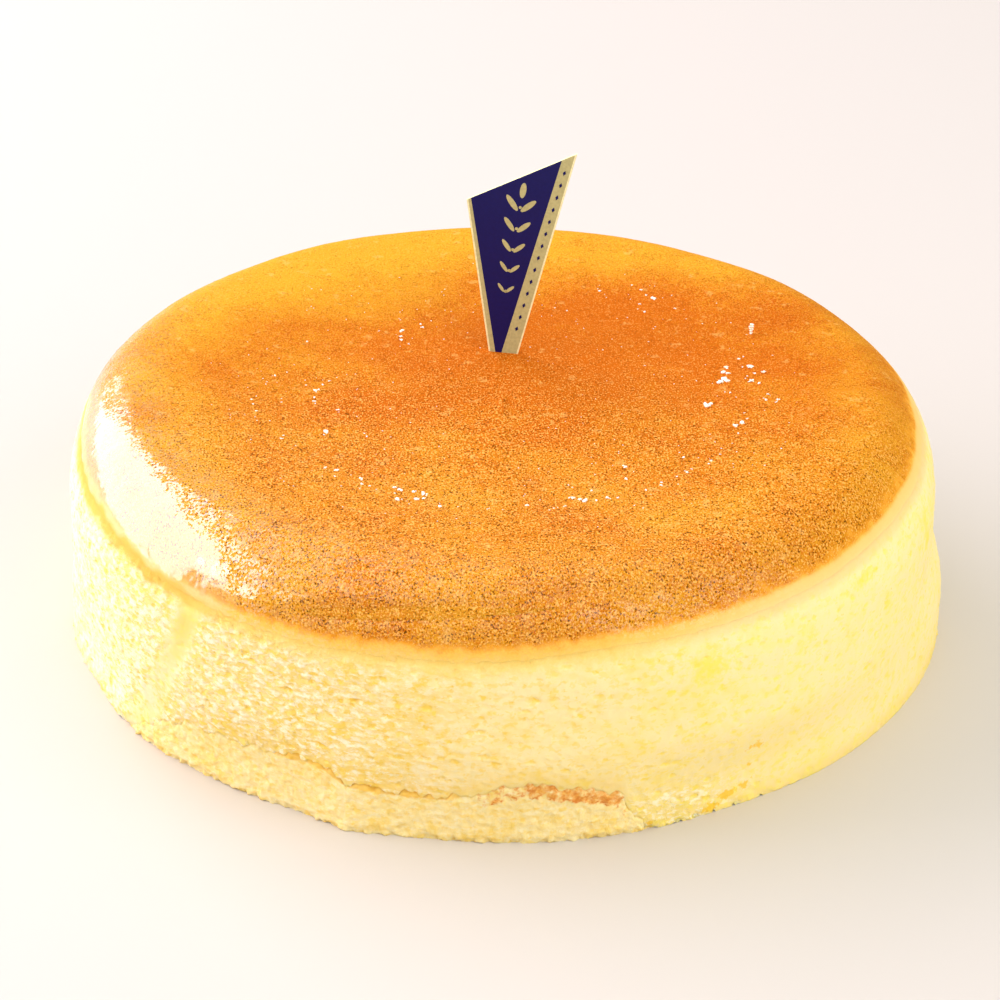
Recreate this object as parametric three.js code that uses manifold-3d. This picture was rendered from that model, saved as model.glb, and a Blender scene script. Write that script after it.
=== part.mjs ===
// A Japanese souffle ("jiggly") cheesecake of the 15 cm size: a tall, soft cheesecake with a rounded
// shoulder and a gently dished top, baked on a thin sponge base, with a printed card pick stuck in it.
// Units are millimetres. +Z is up, the cake stands on Z = 0, its tin was centred on the Z axis, and its
// front faces -Y. Angles are in degrees, counter-clockwise from +X as seen from above.

import * as THREE from 'three';
import { mergeVertices } from 'three/addons/utils/BufferGeometryUtils.js';
import Module from 'manifold-3d';

const wasm = await Module();
wasm.setup();

// ---------------------------------------------------------------- driving dimensions

const CAKE_RADIUS = 75;
const CAKE_HEIGHT = 45;
const SHOULDER_IN = 12.5;
const SHOULDER_DOWN = 17;
const FOOT_RADIUS = 74.4;
const FOOT_TOP = 5;
const SIDE_START = 19;

const DISH_DEPTH = 1.6;
const DISH_FLAT_RADIUS = 30;
const DISH_RIM_RADIUS = 60;

const CREASE_DEPTH = 0.3;
const CREASE_HALF_WIDTH = 3.2;
const CREASE_TOP_ANGLE = -131;
const CREASE_TOP = 35.5;
const CREASE_DRIFT = -15.5;

const SPONGE_HEIGHT = 10;
const SPONGE_HIDDEN_RADIUS = 68;
const SPONGE_PROUD = 0.2;
const SPONGE_OPEN_FROM = -146;
const SPONGE_OPEN_TO = -72;
const SPONGE_OPEN_FADE = 7;
const SPONGE_EDGE_WEAR = 0.5;

const PICK_X = 0.1;
const PICK_Y = 15;
const PICK_TURN = -10;
const PICK_THICKNESS = 0.5;
const PICK_DEPTH = 9;
const PICK_LEFT_HEIGHT = 28.6;
const PICK_RIGHT_HEIGHT = 38.7;
const PICK_TOP_LEFT = -7.2;
const PICK_TOP_RIGHT = 11.7;
const PICK_TIP_LEFT = -1.6;
const PICK_TIP_RIGHT = -0.1;

const FIT_GAP = 0.35;
const AROUND = 120;
const SUGAR_SEED = 7;

// Low swells and hollows of the foot, where the soft side has settled, of how high the foot's swell
// reaches, of the upright side above it, and of the rim's height. Each is a smooth bell round an angle.
const FOOT_SWELLS = [
  { angle: 0, width: 15, amount: 0.8 },
  { angle: -25, width: 22, amount: -1 },
  { angle: -55, width: 22, amount: -2.4 },
  { angle: -108.5, width: 5, amount: 1.7 },
  { angle: -124, width: 18, amount: -1.3 },
  { angle: -158, width: 9, amount: -1 },
  { angle: 180, width: 18, amount: 0.5 },
];
const FOOT_RISES = [{ angle: 2, width: 25, amount: 4 }];
const SIDE_SWELLS = [
  { angle: 3, width: 28, amount: -0.6 },
  { angle: 180, width: 20, amount: -0.5 },
];
const RIM_SWELLS = [{ angle: 8, width: 25, amount: -0.6 }];

// Where dusted sugar has stayed: clusters along the edge of the dished middle. Lumps are drawn at
// random inside each one, over a length along the ring and a width across it.
const SUGAR_CLUSTERS = [
  { angle: 5, radius: 39.5, along: 9, across: 7, count: 9, size: 0.95 },
  { angle: -7, radius: 35, along: 1, across: 1, count: 1, size: 1.1 },
  { angle: -30, radius: 40, along: 12, across: 2, count: 3, size: 0.7 },
  { angle: -50, radius: 42, along: 10, across: 1, count: 5, size: 0.7 },
  { angle: -70, radius: 42.3, along: 6, across: 1, count: 4, size: 0.9 },
  { angle: -92, radius: 43.5, along: 12, across: 1, count: 5, size: 0.7 },
  { angle: -114, radius: 41.5, along: 7, across: 3, count: 5, size: 0.95 },
  { angle: -133, radius: 41, along: 4, across: 3, count: 2, size: 0.75 },
  { angle: -172, radius: 37, along: 9, across: 12, count: 4, size: 0.65 },
  { angle: 120, radius: 30, along: 7, across: 2, count: 3, size: 0.7 },
  { angle: 62, radius: 43, along: 10, across: 8, count: 4, size: 0.7 },
  { angle: 74, radius: 61, along: 1, across: 1, count: 1, size: 0.8 },
];

// ---------------------------------------------------------------- helpers

const { degToRad, radToDeg, lerp, smoothstep } = THREE.MathUtils;

// Shortest turn, in degrees, from one angle to another.
function turnBetween(from, to) {
  return THREE.MathUtils.euclideanModulo(to - from + 180, 360) - 180;
}

// A smooth bell of height 1 round an angle.
function bell(angle, centre, width) {
  return Math.exp(-((turnBetween(centre, angle) / width) ** 2));
}

// All of a list's swells together, at an angle.
function swellAt(swells, angle) {
  return swells.reduce((sum, swell) => sum + swell.amount * bell(angle, swell.angle, swell.width), 0);
}

// A repeatable source of random numbers from 0 to 1.
function randomFrom(seed) {
  let state = seed;
  return () => {
    state = (state * 1664525 + 1013904223) % 4294967296;
    return state / 4294967296;
  };
}

// A closed solid from a geometry: seams are welded and the flat triangles at its poles dropped.
function solidFrom(geometry) {
  const bare = geometry.clone();
  bare.deleteAttribute('normal');
  bare.deleteAttribute('uv');
  const welded = mergeVertices(bare.index ? bare : mergeVertices(bare));
  const corners = welded.index.array;
  const triangles = [];
  for (let i = 0; i < corners.length; i += 3) {
    const [a, b, c] = corners.slice(i, i + 3);
    if (a !== b && b !== c && c !== a) triangles.push(a, b, c);
  }
  const mesh = new wasm.Mesh({
    numProp: 3,
    vertProperties: new Float32Array(welded.attributes.position.array),
    triVerts: new Uint32Array(triangles),
  });
  return new wasm.Manifold(mesh);
}

// The geometry of a solid, ready for a three.js mesh.
function geometryOf(solid) {
  const mesh = solid.getMesh();
  const geometry = new THREE.BufferGeometry();
  geometry.setAttribute('position', new THREE.BufferAttribute(mesh.vertProperties, 3));
  geometry.setIndex(new THREE.BufferAttribute(mesh.triVerts, 1));
  geometry.computeVertexNormals();
  return geometry;
}

// Turns a profile of [radius, height] points round the Z axis, then moves each point of the surface
// to where shape(angle, radius, height) says, as [radius, height].
function turned(profile, shape) {
  const points = profile.map(([radius, height]) => new THREE.Vector2(radius, height));
  const lathe = new THREE.LatheGeometry(points, AROUND);
  lathe.rotateX(Math.PI / 2);
  const position = lathe.attributes.position;
  for (let i = 0; i < position.count; i += 1) {
    const x = position.getX(i);
    const y = position.getY(i);
    const angle = radToDeg(Math.atan2(y, x));
    const radius = Math.hypot(x, y);
    const [newRadius, newHeight] = shape(angle, radius, position.getZ(i));
    const scale = radius > 0 ? newRadius / radius : 0;
    position.setXYZ(i, x * scale, y * scale, newHeight);
  }
  return lathe;
}

// ---------------------------------------------------------------- form of the cake

// Slow unevenness of the baked side, a few sines that share no common period, within about 1.
function unevenness(angle, height) {
  const a = degToRad(angle);
  return 0.5 * Math.sin(5 * a + 0.8) + 0.3 * Math.sin(9 * a + height / 9 + 2.1)
    + 0.2 * Math.sin(14 * a - height / 5);
}

// The dent that a fold of the baking paper left, slanting down the side at the front left.
function creaseDepth(angle, height) {
  const fallen = Math.max(0, 1 - height / CREASE_TOP);
  const centre = CREASE_TOP_ANGLE + CREASE_DRIFT * fallen ** 1.6;
  const halfAngle = radToDeg(CREASE_HALF_WIDTH / CAKE_RADIUS);
  return CREASE_DEPTH * bell(angle, centre, halfAngle) * (1 - smoothstep(height, CREASE_TOP, CAKE_HEIGHT));
}

function footRadius(angle) {
  const a = degToRad(angle);
  return FOOT_RADIUS + 0.9 * Math.cos(a) + 1.2 * Math.cos(2 * a) + swellAt(FOOT_SWELLS, angle);
}

// Outer radius of the side at an angle and a height, below the shoulder.
function wallRadius(angle, height) {
  const upright = CAKE_RADIUS + swellAt(SIDE_SWELLS, angle);
  const risen = height - swellAt(FOOT_RISES, angle);
  const side = lerp(footRadius(angle), upright, smoothstep(risen, FOOT_TOP, SIDE_START));
  return side + 0.3 * unevenness(angle, height) - creaseDepth(angle, height);
}

// How far the top lies below its rim, at a radius.
function dish(radius) {
  return DISH_DEPTH * (1 - smoothstep(radius, DISH_FLAT_RADIUS, DISH_RIM_RADIUS));
}

// The cake's half section: flat foot, side, rounded shoulder and dished top.
function cakeProfile() {
  const wallTop = CAKE_HEIGHT - SHOULDER_DOWN;
  const crestRadius = CAKE_RADIUS - SHOULDER_IN;
  const profile = [[0, 0], [60, 0]];
  const wallSteps = 7;
  for (let i = 0; i <= wallSteps; i += 1) profile.push([CAKE_RADIUS, (wallTop * i) / wallSteps]);
  const shoulderSteps = 6;
  for (let i = 1; i <= shoulderSteps; i += 1) {
    const turn = (Math.PI / 2) * (i / shoulderSteps);
    profile.push([crestRadius + SHOULDER_IN * Math.cos(turn), wallTop + SHOULDER_DOWN * Math.sin(turn)]);
  }
  const topSteps = 6;
  for (let i = topSteps - 1; i >= 0; i -= 1) {
    const radius = (crestRadius * i) / topSteps;
    profile.push([radius, CAKE_HEIGHT - dish(radius)]);
  }
  return profile;
}

function cakeForm(angle, radius, height) {
  const spread = wallRadius(angle, height) / CAKE_RADIUS;
  const rimLift = 0.25 * unevenness(angle + 40, 0) + swellAt(RIM_SWELLS, angle);
  const nearRim = smoothstep(height, 30, CAKE_HEIGHT) * (radius / CAKE_RADIUS) ** 2;
  return [radius * spread, height + rimLift * nearRim];
}

// Height of the cake's top over a point inside the rim.
function topHeight(x, y) {
  const radius = Math.hypot(x, y);
  return cakeForm(radToDeg(Math.atan2(y, x)), radius, CAKE_HEIGHT - dish(radius))[1];
}

// ---------------------------------------------------------------- sponge base

// 1 where the sponge shows at the side, 0 where the cheesecake wraps round it.
function spongeShows(angle) {
  const middle = (SPONGE_OPEN_FROM + SPONGE_OPEN_TO) / 2;
  const halfOpen = (SPONGE_OPEN_TO - SPONGE_OPEN_FROM) / 2;
  const away = Math.abs(turnBetween(middle, angle));
  return 1 - smoothstep(away, halfOpen, halfOpen + SPONGE_OPEN_FADE);
}

// Height of the sponge's upper side, which waves where it meets the side of the cake.
function spongeTop(angle, radius) {
  const a = degToRad(angle);
  const wave = 0.7 * Math.sin(11 * a + 0.9) + 0.4 * Math.sin(23 * a) - 2.6 * bell(angle, SPONGE_OPEN_FROM, 7);
  return SPONGE_HEIGHT + wave * (radius / CAKE_RADIUS) ** 6;
}

// The sponge, grown all round by a gap when it serves to cut its own place in the cheesecake.
function spongeSolid(gap) {
  const floor = gap > 0 ? -2 : 0;
  const wear = gap > 0 ? 0 : SPONGE_EDGE_WEAR;
  const profile = [[0, floor], [50, floor], [CAKE_RADIUS - wear, floor]];
  for (const share of [0.2, 0.6, 1]) profile.push([CAKE_RADIUS, SPONGE_HEIGHT * share]);
  profile.push([60, SPONGE_HEIGHT], [32, SPONGE_HEIGHT], [0, SPONGE_HEIGHT]);
  const form = (angle, radius, height) => {
    const outer = wallRadius(angle, Math.max(0, height)) + SPONGE_PROUD;
    const edge = lerp(SPONGE_HIDDEN_RADIUS, outer, spongeShows(angle)) + gap * 1.3;
    const rise = Math.max(0, height) / SPONGE_HEIGHT;
    const newHeight = height > 0 ? rise * spongeTop(angle, radius) + gap * rise : floor;
    return [(radius / CAKE_RADIUS) * edge, newHeight];
  };
  return solidFrom(turned(profile, form));
}

// ---------------------------------------------------------------- pick

// Outline of the card pick, standing on its narrow end, with the cake's surface at height 0. Its two
// edges lean apart and its upper edge slants up to the right.
function pickOutline(gap) {
  const shape = new THREE.Shape();
  shape.moveTo(PICK_TIP_LEFT - gap, -PICK_DEPTH - gap);
  shape.lineTo(PICK_TIP_RIGHT + gap, -PICK_DEPTH - gap);
  shape.lineTo(PICK_TOP_RIGHT + gap, PICK_RIGHT_HEIGHT);
  shape.lineTo(PICK_TOP_LEFT - gap, PICK_LEFT_HEIGHT);
  shape.closePath();
  return shape;
}

// A slab of the pick's outline, centred on its own plane and standing upright.
function pickSlab(gap) {
  const depth = PICK_THICKNESS + 2 * gap;
  const slab = new THREE.ExtrudeGeometry(pickOutline(gap), { depth, bevelEnabled: false });
  slab.translate(0, 0, -depth / 2);
  slab.rotateX(Math.PI / 2);
  return slab;
}

// ---------------------------------------------------------------- sugar

// One lump of sugar: a small irregular stone, a third of it sunk in the surface.
function sugarLump(x, y, size, random) {
  const lump = new THREE.IcosahedronGeometry(size, 0);
  lump.scale(0.8 + 0.7 * random(), 0.7 + 0.4 * random(), 0.55 + 0.25 * random());
  lump.rotateZ(2 * Math.PI * random());
  lump.translate(x, y, topHeight(x, y) + 0.2 * size);
  return solidFrom(lump);
}

function sugarLumps() {
  const random = randomFrom(SUGAR_SEED);
  const lumps = [];
  for (const cluster of SUGAR_CLUSTERS) {
    for (let i = 0; i < cluster.count; i += 1) {
      const radius = cluster.radius + cluster.across * (random() - 0.5);
      const along = cluster.along * ((i + random()) / cluster.count - 0.5);
      const angle = degToRad(cluster.angle) + along / cluster.radius;
      const size = cluster.size * (0.75 + 0.5 * random());
      lumps.push(sugarLump(radius * Math.cos(angle), radius * Math.sin(angle), size, random));
    }
  }
  return lumps;
}

// ---------------------------------------------------------------- sub-parts

const materials = {
  cake: new THREE.MeshStandardMaterial({ color: 0xf6d583, roughness: 0.7, metalness: 0 }),
  sponge: new THREE.MeshStandardMaterial({ color: 0xf0d492, roughness: 0.9, metalness: 0 }),
  pick: new THREE.MeshStandardMaterial({ color: 0x2a2560, roughness: 0.4, metalness: 0 }),
};

function makePick() {
  const pick = new THREE.Mesh(pickSlab(0), materials.pick);
  pick.name = 'pick';
  pick.position.set(PICK_X, PICK_Y, topHeight(PICK_X, PICK_Y));
  pick.rotation.z = degToRad(PICK_TURN);
  pick.updateMatrixWorld();
  return pick;
}

function makeCake(pick) {
  let solid = solidFrom(turned(cakeProfile(), cakeForm));
  for (const lump of sugarLumps()) solid = solid.add(lump);
  const slit = solidFrom(pickSlab(FIT_GAP).applyMatrix4(pick.matrixWorld));
  solid = solid.subtract(spongeSolid(FIT_GAP)).subtract(slit);
  const cake = new THREE.Mesh(geometryOf(solid), materials.cake);
  cake.name = 'cake';
  return cake;
}

function makeSpongeBase() {
  const sponge = new THREE.Mesh(geometryOf(spongeSolid(0)), materials.sponge);
  sponge.name = 'sponge_base';
  return sponge;
}

const cheesecake = new THREE.Group();
cheesecake.name = 'jiggly_cheesecake';
const pick = makePick();
cheesecake.add(makeCake(pick), makeSpongeBase(), pick);

export default cheesecake;
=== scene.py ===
# %% [markdown]
# # A jiggly cheesecake
# This lesson dresses a souffle cheesecake: an airy, soft cake with a browned, glazed top, standing on a
# thin sponge base, with dusted sugar on it and a printed card pick stuck in it. The solid model of the
# cake is loaded first and never moved. Each cell then makes one piece or one finish over it.

# %% Load the frame
import math

import bpy
import numpy as np
from mathutils import Matrix, Vector


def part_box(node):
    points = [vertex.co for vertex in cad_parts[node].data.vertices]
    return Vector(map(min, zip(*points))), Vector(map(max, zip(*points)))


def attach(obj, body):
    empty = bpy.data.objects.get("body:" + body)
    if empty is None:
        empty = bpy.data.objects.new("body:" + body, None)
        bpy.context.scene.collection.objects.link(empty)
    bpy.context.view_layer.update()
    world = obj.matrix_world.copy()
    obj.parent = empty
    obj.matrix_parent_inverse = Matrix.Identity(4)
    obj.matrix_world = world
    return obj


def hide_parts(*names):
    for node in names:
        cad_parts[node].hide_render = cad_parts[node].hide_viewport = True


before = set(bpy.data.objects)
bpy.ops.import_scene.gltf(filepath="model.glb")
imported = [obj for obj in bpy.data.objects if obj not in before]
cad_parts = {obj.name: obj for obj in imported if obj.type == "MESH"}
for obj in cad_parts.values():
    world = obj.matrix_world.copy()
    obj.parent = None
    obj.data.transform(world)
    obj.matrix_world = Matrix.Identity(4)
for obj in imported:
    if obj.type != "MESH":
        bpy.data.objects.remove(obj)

bpy.ops.object.select_all(action="DESELECT")
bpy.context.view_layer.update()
cake_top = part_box("cake")[1].z
pick_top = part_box("pick")[1].z
print("nodes:", sorted(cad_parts), "cake", round(cake_top, 4), "m high, pick", round(pick_top, 4), "m")

# %% [markdown]
# ## Camera
# The cake is seen from a little above the table, as a guest sees it. The camera stands 60 cm away with a
# long lens, so the far rim looks nearly as wide as the near one, and it leans by one degree.

# %% Camera
MM = 0.001
CAMERA_TARGET = Vector((0, 0, 18 * MM))
CAMERA_DISTANCE = 600 * MM
CAMERA_ELEVATION = math.radians(29)
CAMERA_ROLL = math.radians(1)
SENSOR_WIDTH = 36
FOCAL_OVER_WIDTH = 3.435
FRAME_SHIFT = (-0.0022, 0.0215)


def new_object(name, data):
    """Adds an object to the scene."""
    item = bpy.data.objects.new(name, data)
    bpy.context.scene.collection.objects.link(item)
    return item


def make_camera():
    """Looks along +Y and down at the target, rolled anticlockwise so the scene leans right."""
    camera_data = bpy.data.cameras.new("guest_view")
    camera_data.sensor_width = SENSOR_WIDTH
    camera_data.lens = SENSOR_WIDTH * FOCAL_OVER_WIDTH
    camera_data.shift_x, camera_data.shift_y = FRAME_SHIFT
    camera = new_object("guest_view", camera_data)
    back = Vector((0, -math.cos(CAMERA_ELEVATION), math.sin(CAMERA_ELEVATION)))
    camera.location = CAMERA_TARGET + back * CAMERA_DISTANCE
    upright = (-back).to_track_quat("-Z", "Y").to_matrix().to_4x4()
    turn = Matrix.Rotation(CAMERA_ROLL, 4, "Z")
    camera.rotation_euler = (upright @ turn).to_euler()
    return camera


bpy.context.scene.camera = make_camera()
print("camera", tuple(round(v, 3) for v in bpy.context.scene.camera.location))

# %% [markdown]
# ## Light and floor
# A bright, airy table: white light from all round, and a large soft window low at the back left. The
# window gives the broad shine on the left shoulder and a soft shadow to the front right. A reflector and
# a small pale wall light the front and the left side of the crumb.

# %% Feeding nodes
def feed(tree, socket, value):
    """Links an input to another socket, or sets it where it gets a plain value."""
    if isinstance(value, bpy.types.NodeSocket):
        tree.links.new(value, socket)
    else:
        socket.default_value = value


def feed_all(tree, node, values):
    """Feeds several of a node's inputs, by name."""
    for name, value in values.items():
        feed(tree, node.inputs[name], value)


def add_split(tree, vector):
    """The three parts of a vector."""
    node = tree.nodes.new("ShaderNodeSeparateXYZ")
    tree.links.new(vector, node.inputs[0])
    return node.outputs


def new_material(name):
    """An empty material with a Principled shader; returns (material, tree, shader)."""
    material = bpy.data.materials.new(name)
    material.use_nodes = True
    tree = material.node_tree
    return material, tree, tree.nodes["Principled BSDF"]


# %% Light and floor
WALL_BRIGHTNESS = 0.4
CEILING_BRIGHTNESS = 1.1
CEILING_FROM = 0.35
CEILING_FULL = 0.9
ROOM_TINT = (1, 0.99, 0.975, 1)
TABLE_SIZE = 8
TABLE_COLOUR = (0.66, 0.62, 0.57, 1)
# Name, direction seen from the cake, distance and size in metres, power in watts, colour.
SOFT_LIGHTS = [
    ("window", (-0.82, 0.36, 0.446), 0.9, (1.3, 0.86), 12.8, (1, 0.89, 1)),
    ("reflector", (0.72, -0.55, 0.55), 1.2, (1.2, 1.0), 8, (1, 1, 1)),
    ("side_wall", (-0.85, -0.36, 0.36), 1.0, (0.36, 0.34), 1.2, (1, 1, 1)),
]


def make_world():
    """A white room, brighter at the ceiling than at the walls."""
    world = bpy.data.worlds.new("bright_room")
    world.use_nodes = True
    tree = world.node_tree
    upwards = add_split(tree, tree.nodes.new("ShaderNodeTexCoord").outputs["Generated"])["Z"]
    rise = tree.nodes.new("ShaderNodeMapRange")
    rise.interpolation_type = "SMOOTHSTEP"
    feed_all(tree, rise, {"Value": upwards, "From Min": CEILING_FROM, "From Max": CEILING_FULL,
                          "To Min": WALL_BRIGHTNESS, "To Max": CEILING_BRIGHTNESS})
    feed_all(tree, tree.nodes["Background"], {"Color": ROOM_TINT, "Strength": rise.outputs["Result"]})
    bpy.context.scene.world = world


def make_soft_light(name, direction, distance, size, power, colour):
    """A rectangular area light that faces the cake."""
    light_data = bpy.data.lights.new(name, "AREA")
    light_data.shape = "RECTANGLE"
    light_data.size, light_data.size_y = size
    light_data.energy = power
    light_data.color = colour
    light = new_object(name, light_data)
    towards = Vector(direction).normalized()
    light.location = CAMERA_TARGET + towards * distance
    light.rotation_euler = towards.to_track_quat("Z", "Y").to_euler()
    print(name, size, "m at", distance, "m")


def make_floor():
    """A plain pale table top."""
    bpy.ops.mesh.primitive_plane_add(size=TABLE_SIZE)
    floor = bpy.context.object
    floor.name = "floor"
    material, tree, shader = new_material("pale_table")
    feed_all(tree, shader, {"Base Color": TABLE_COLOUR, "Roughness": 0.6})
    floor.data.materials.append(material)


make_world()
for soft_light in SOFT_LIGHTS:
    make_soft_light(*soft_light)
make_floor()
bpy.context.scene.view_settings.view_transform = "Standard"

# %% [markdown]
# ## The cake's form in numbers
# A cake that comes out of a round tin is nearly a turned form, but a soft one settles: its foot swells on
# one side, its rim is not quite level and a fold of the baking paper leaves a slanting dent. These
# functions say where the side, the rim and the browned edge are at each angle. They work on whole arrays
# of points at once, in millimetres and degrees. The values are the solid model's, except that the dent
# fades out a few millimetres lower here, so that the shine above it stays whole.

# %% Form of the cake
CAKE_RADIUS = 75
CAKE_HEIGHT = 45
SHOULDER_IN = 12.5
SHOULDER_DOWN = 17
CREST_RADIUS = CAKE_RADIUS - SHOULDER_IN
WALL_TOP = CAKE_HEIGHT - SHOULDER_DOWN
FOOT_RADIUS = 74.4
FOOT_TOP = 5
SIDE_START = 19
DISH_DEPTH = 1.6
DISH_FLAT_RADIUS = 30
DISH_RIM_RADIUS = 60
CREASE_DEPTH = 0.3
CREASE_HALF_WIDTH = 3.2
CREASE_TOP_ANGLE = -131
CREASE_TOP = 35.5
CREASE_DRIFT = -15.5
CREASE_FADES = (CREASE_TOP - 4, CREASE_TOP + 3)
FOOT_SHIFT = 0.9
FOOT_OVAL = 1.2
SIDE_UNEVENNESS = 0.3
RIM_UNEVENNESS = 0.25
RIM_LIFTS_FROM = 30
EDGE_UNEVENNESS = 0.2

# Smooth swells and hollows, each (angle, width, amount).
FOOT_SWELLS = [(0, 15, 0.8), (-25, 22, -1), (-55, 22, -2.4), (-108.5, 5, 1.7), (-124, 18, -1.3),
               (-158, 9, -1), (180, 18, 0.5)]
# How much higher the foot's swell reaches at the right.
FOOT_RISES = [(2, 25, 4)]
SIDE_SWELLS = [(3, 28, -0.6), (180, 20, -0.5)]
RIM_SWELLS = [(8, 25, -0.6)]
# The browned edge lies lower at the front: (angle, height) all the way round.
EDGE_LINE = [(-180, 40), (-150, 38.2), (-140, 37.2), (-128, 35.9), (-112, 35.7), (-100, 36), (-90, 36.5),
             (-80, 37.6), (-70, 38.4), (-50, 38.9), (-40, 39.8), (-20, 40.6), (0, 41), (60, 40.5),
             (180, 40)]


def smoothstep(value, start, end):
    """0 before start, 1 after end, and an S curve between them."""
    share = np.clip((value - start) / (end - start), 0, 1)
    return share * share * (3 - 2 * share)


def line_at(line, place):
    """A value read off a line of (place, value) points."""
    places, values = zip(*line)
    return np.interp(place, places, values)


def bell(angle, centre, width):
    """A smooth bell of height 1 round an angle."""
    turn = (angle - centre + 180) % 360 - 180
    return np.exp(-((turn / width) ** 2))


def swell_at(swells, angle):
    """All of a list's swells together."""
    return sum(amount * bell(angle, centre, width) for centre, width, amount in swells)


def marks_at(marks, angle, height):
    """The strongest of a list of soft spots: (angle, height, half length, half height, strength)."""
    strength = np.zeros_like(np.asarray(height, dtype=float))
    for centre, middle, half_length, half_height, most in marks:
        along = np.radians(angle - centre) * CAKE_RADIUS / half_length
        up = (height - middle) / half_height
        strength = np.maximum(strength, most * np.exp(-(along ** 2) - up ** 2))
    return strength


def unevenness(angle, height):
    """Slow unevenness of the baked side: a few sines that share no common period."""
    a = np.radians(angle)
    slow = 0.5 * np.sin(5 * a + 0.8) + 0.3 * np.sin(9 * a + height / 9 + 2.1)
    return slow + 0.2 * np.sin(14 * a - height / 5)


def crease_angle(height):
    """Where the paper fold's dent runs, as it slants down the side."""
    return CREASE_TOP_ANGLE + CREASE_DRIFT * np.clip(1 - height / CREASE_TOP, 0, 1) ** 1.6


def crease_mask(angle, height):
    """1 in the middle of the dent, 0 away from it."""
    half_angle = math.degrees(CREASE_HALF_WIDTH / CAKE_RADIUS)
    return bell(angle, crease_angle(height), half_angle) * (1 - smoothstep(height, *CREASE_FADES))


def foot_radius(angle):
    """Radius of the foot on the table."""
    a = np.radians(angle)
    return FOOT_RADIUS + FOOT_SHIFT * np.cos(a) + FOOT_OVAL * np.cos(2 * a) + swell_at(FOOT_SWELLS, angle)


def wall_radius(angle, height):
    """Radius of the side at a height."""
    upright = CAKE_RADIUS + swell_at(SIDE_SWELLS, angle)
    foot = foot_radius(angle)
    side = foot + (upright - foot) * smoothstep(height - swell_at(FOOT_RISES, angle), FOOT_TOP, SIDE_START)
    return side + SIDE_UNEVENNESS * unevenness(angle, height) - CREASE_DEPTH * crease_mask(angle, height)


def dish(radius):
    """How far the top lies below its rim."""
    return DISH_DEPTH * (1 - smoothstep(radius, DISH_FLAT_RADIUS, DISH_RIM_RADIUS))


def cake_form(angle, radius, height):
    """Moves points of the plain turned form to the settled one: (radius, height)."""
    spread = wall_radius(angle, height) / CAKE_RADIUS
    rim_lift = RIM_UNEVENNESS * unevenness(angle + 40, 0) + swell_at(RIM_SWELLS, angle)
    near_rim = smoothstep(height, RIM_LIFTS_FROM, CAKE_HEIGHT) * (radius / CAKE_RADIUS) ** 2
    return radius * spread, height + rim_lift * near_rim


def top_height(x, y):
    """Height of the top over a point inside the rim."""
    radius = np.hypot(x, y)
    return cake_form(np.degrees(np.arctan2(y, x)), radius, CAKE_HEIGHT - dish(radius))[1]


def edge_height(angle):
    """Height at which the browned skin ends on the shoulder."""
    turn = (np.asarray(angle) + 180) % 360 - 180
    return line_at(EDGE_LINE, turn) + EDGE_UNEVENNESS * unevenness(3 * turn + 25, 0)


print("rim height", CAKE_HEIGHT, "mm, side radius", CAKE_RADIUS, "mm")

# %% [markdown]
# ## Helpers for dense pieces
# The crumb and the skin start as an ordinary cylinder and grid with very many faces. Their points are then
# read into one array, moved to the cake's form and written back, which is quicker than moving them one
# by one and is the same as sculpting with a rule.

# %% Mesh helpers
def points_of(piece):
    """The piece's points in millimetres, as an array of rows x, y, z."""
    flat = np.empty(len(piece.data.vertices) * 3, dtype=np.float32)
    piece.data.vertices.foreach_get("co", flat)
    return flat.reshape(-1, 3).astype(np.float64) / MM


def set_points(piece, points):
    """Writes the points, given in millimetres, back to the piece."""
    piece.data.vertices.foreach_set("co", (points * MM).astype(np.float32).ravel())
    piece.data.update()


def polar_of(piece):
    """Angle, radius and height of each of the piece's points."""
    x, y, height = points_of(piece).T
    return np.degrees(np.arctan2(y, x)), np.hypot(x, y), height


def place_points(piece, angle, radius, height):
    """Writes points given by angle, radius and height."""
    a = np.radians(angle)
    set_points(piece, np.column_stack((radius * np.cos(a), radius * np.sin(a), height)))


def store_masks(piece, masks):
    """Keeps one number for each point under each name, for the materials and modifiers to read."""
    for name, values in masks.items():
        if name in piece.data.attributes:
            piece.data.attributes.remove(piece.data.attributes[name])
        attribute = piece.data.attributes.new(name, "FLOAT", "POINT")
        attribute.data.foreach_set("value", np.asarray(values, dtype=np.float32))


def choose_only(piece):
    """Selects one piece and makes it the active one."""
    bpy.ops.object.select_all(action="DESELECT")
    piece.select_set(True)
    bpy.context.view_layer.objects.active = piece


def apply_modifiers(piece):
    """Applies every modifier on the piece, in order."""
    choose_only(piece)
    for modifier in list(piece.modifiers):
        bpy.ops.object.modifier_apply(modifier=modifier.name)


def count(piece):
    """Triangles in the piece."""
    return sum(len(face.vertices) - 2 for face in piece.data.polygons)


# %% [markdown]
# ## Crumb pattern
# Souffle crumb is a foam: small pores, wider than they are high because the cake sinks a little as it
# cools, with a few larger ones and torn edges between them. The pattern is built from the same nodes
# twice: once in Geometry Nodes, where it really dents the mesh, and once in a shader group, where it
# colours the pores. It is measured round the side, so a dent does not change where it is.

# %% Node helpers
LEAST_PIT = 0.001
PIT_FLOOR = 0.4


def add_math(tree, operation, first, second):
    """One maths node; each input is a socket or a number."""
    node = tree.nodes.new("ShaderNodeMath")
    node.operation = operation
    feed(tree, node.inputs[0], first)
    feed(tree, node.inputs[1], second)
    return node.outputs[0]


def add_product(tree, first, second):
    """Multiplies two sockets or numbers."""
    return add_math(tree, "MULTIPLY", first, second)


def add_difference(tree, first, *others):
    """Takes sockets or numbers away from the first."""
    for other in others:
        first = add_math(tree, "SUBTRACT", first, other)
    return first


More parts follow.
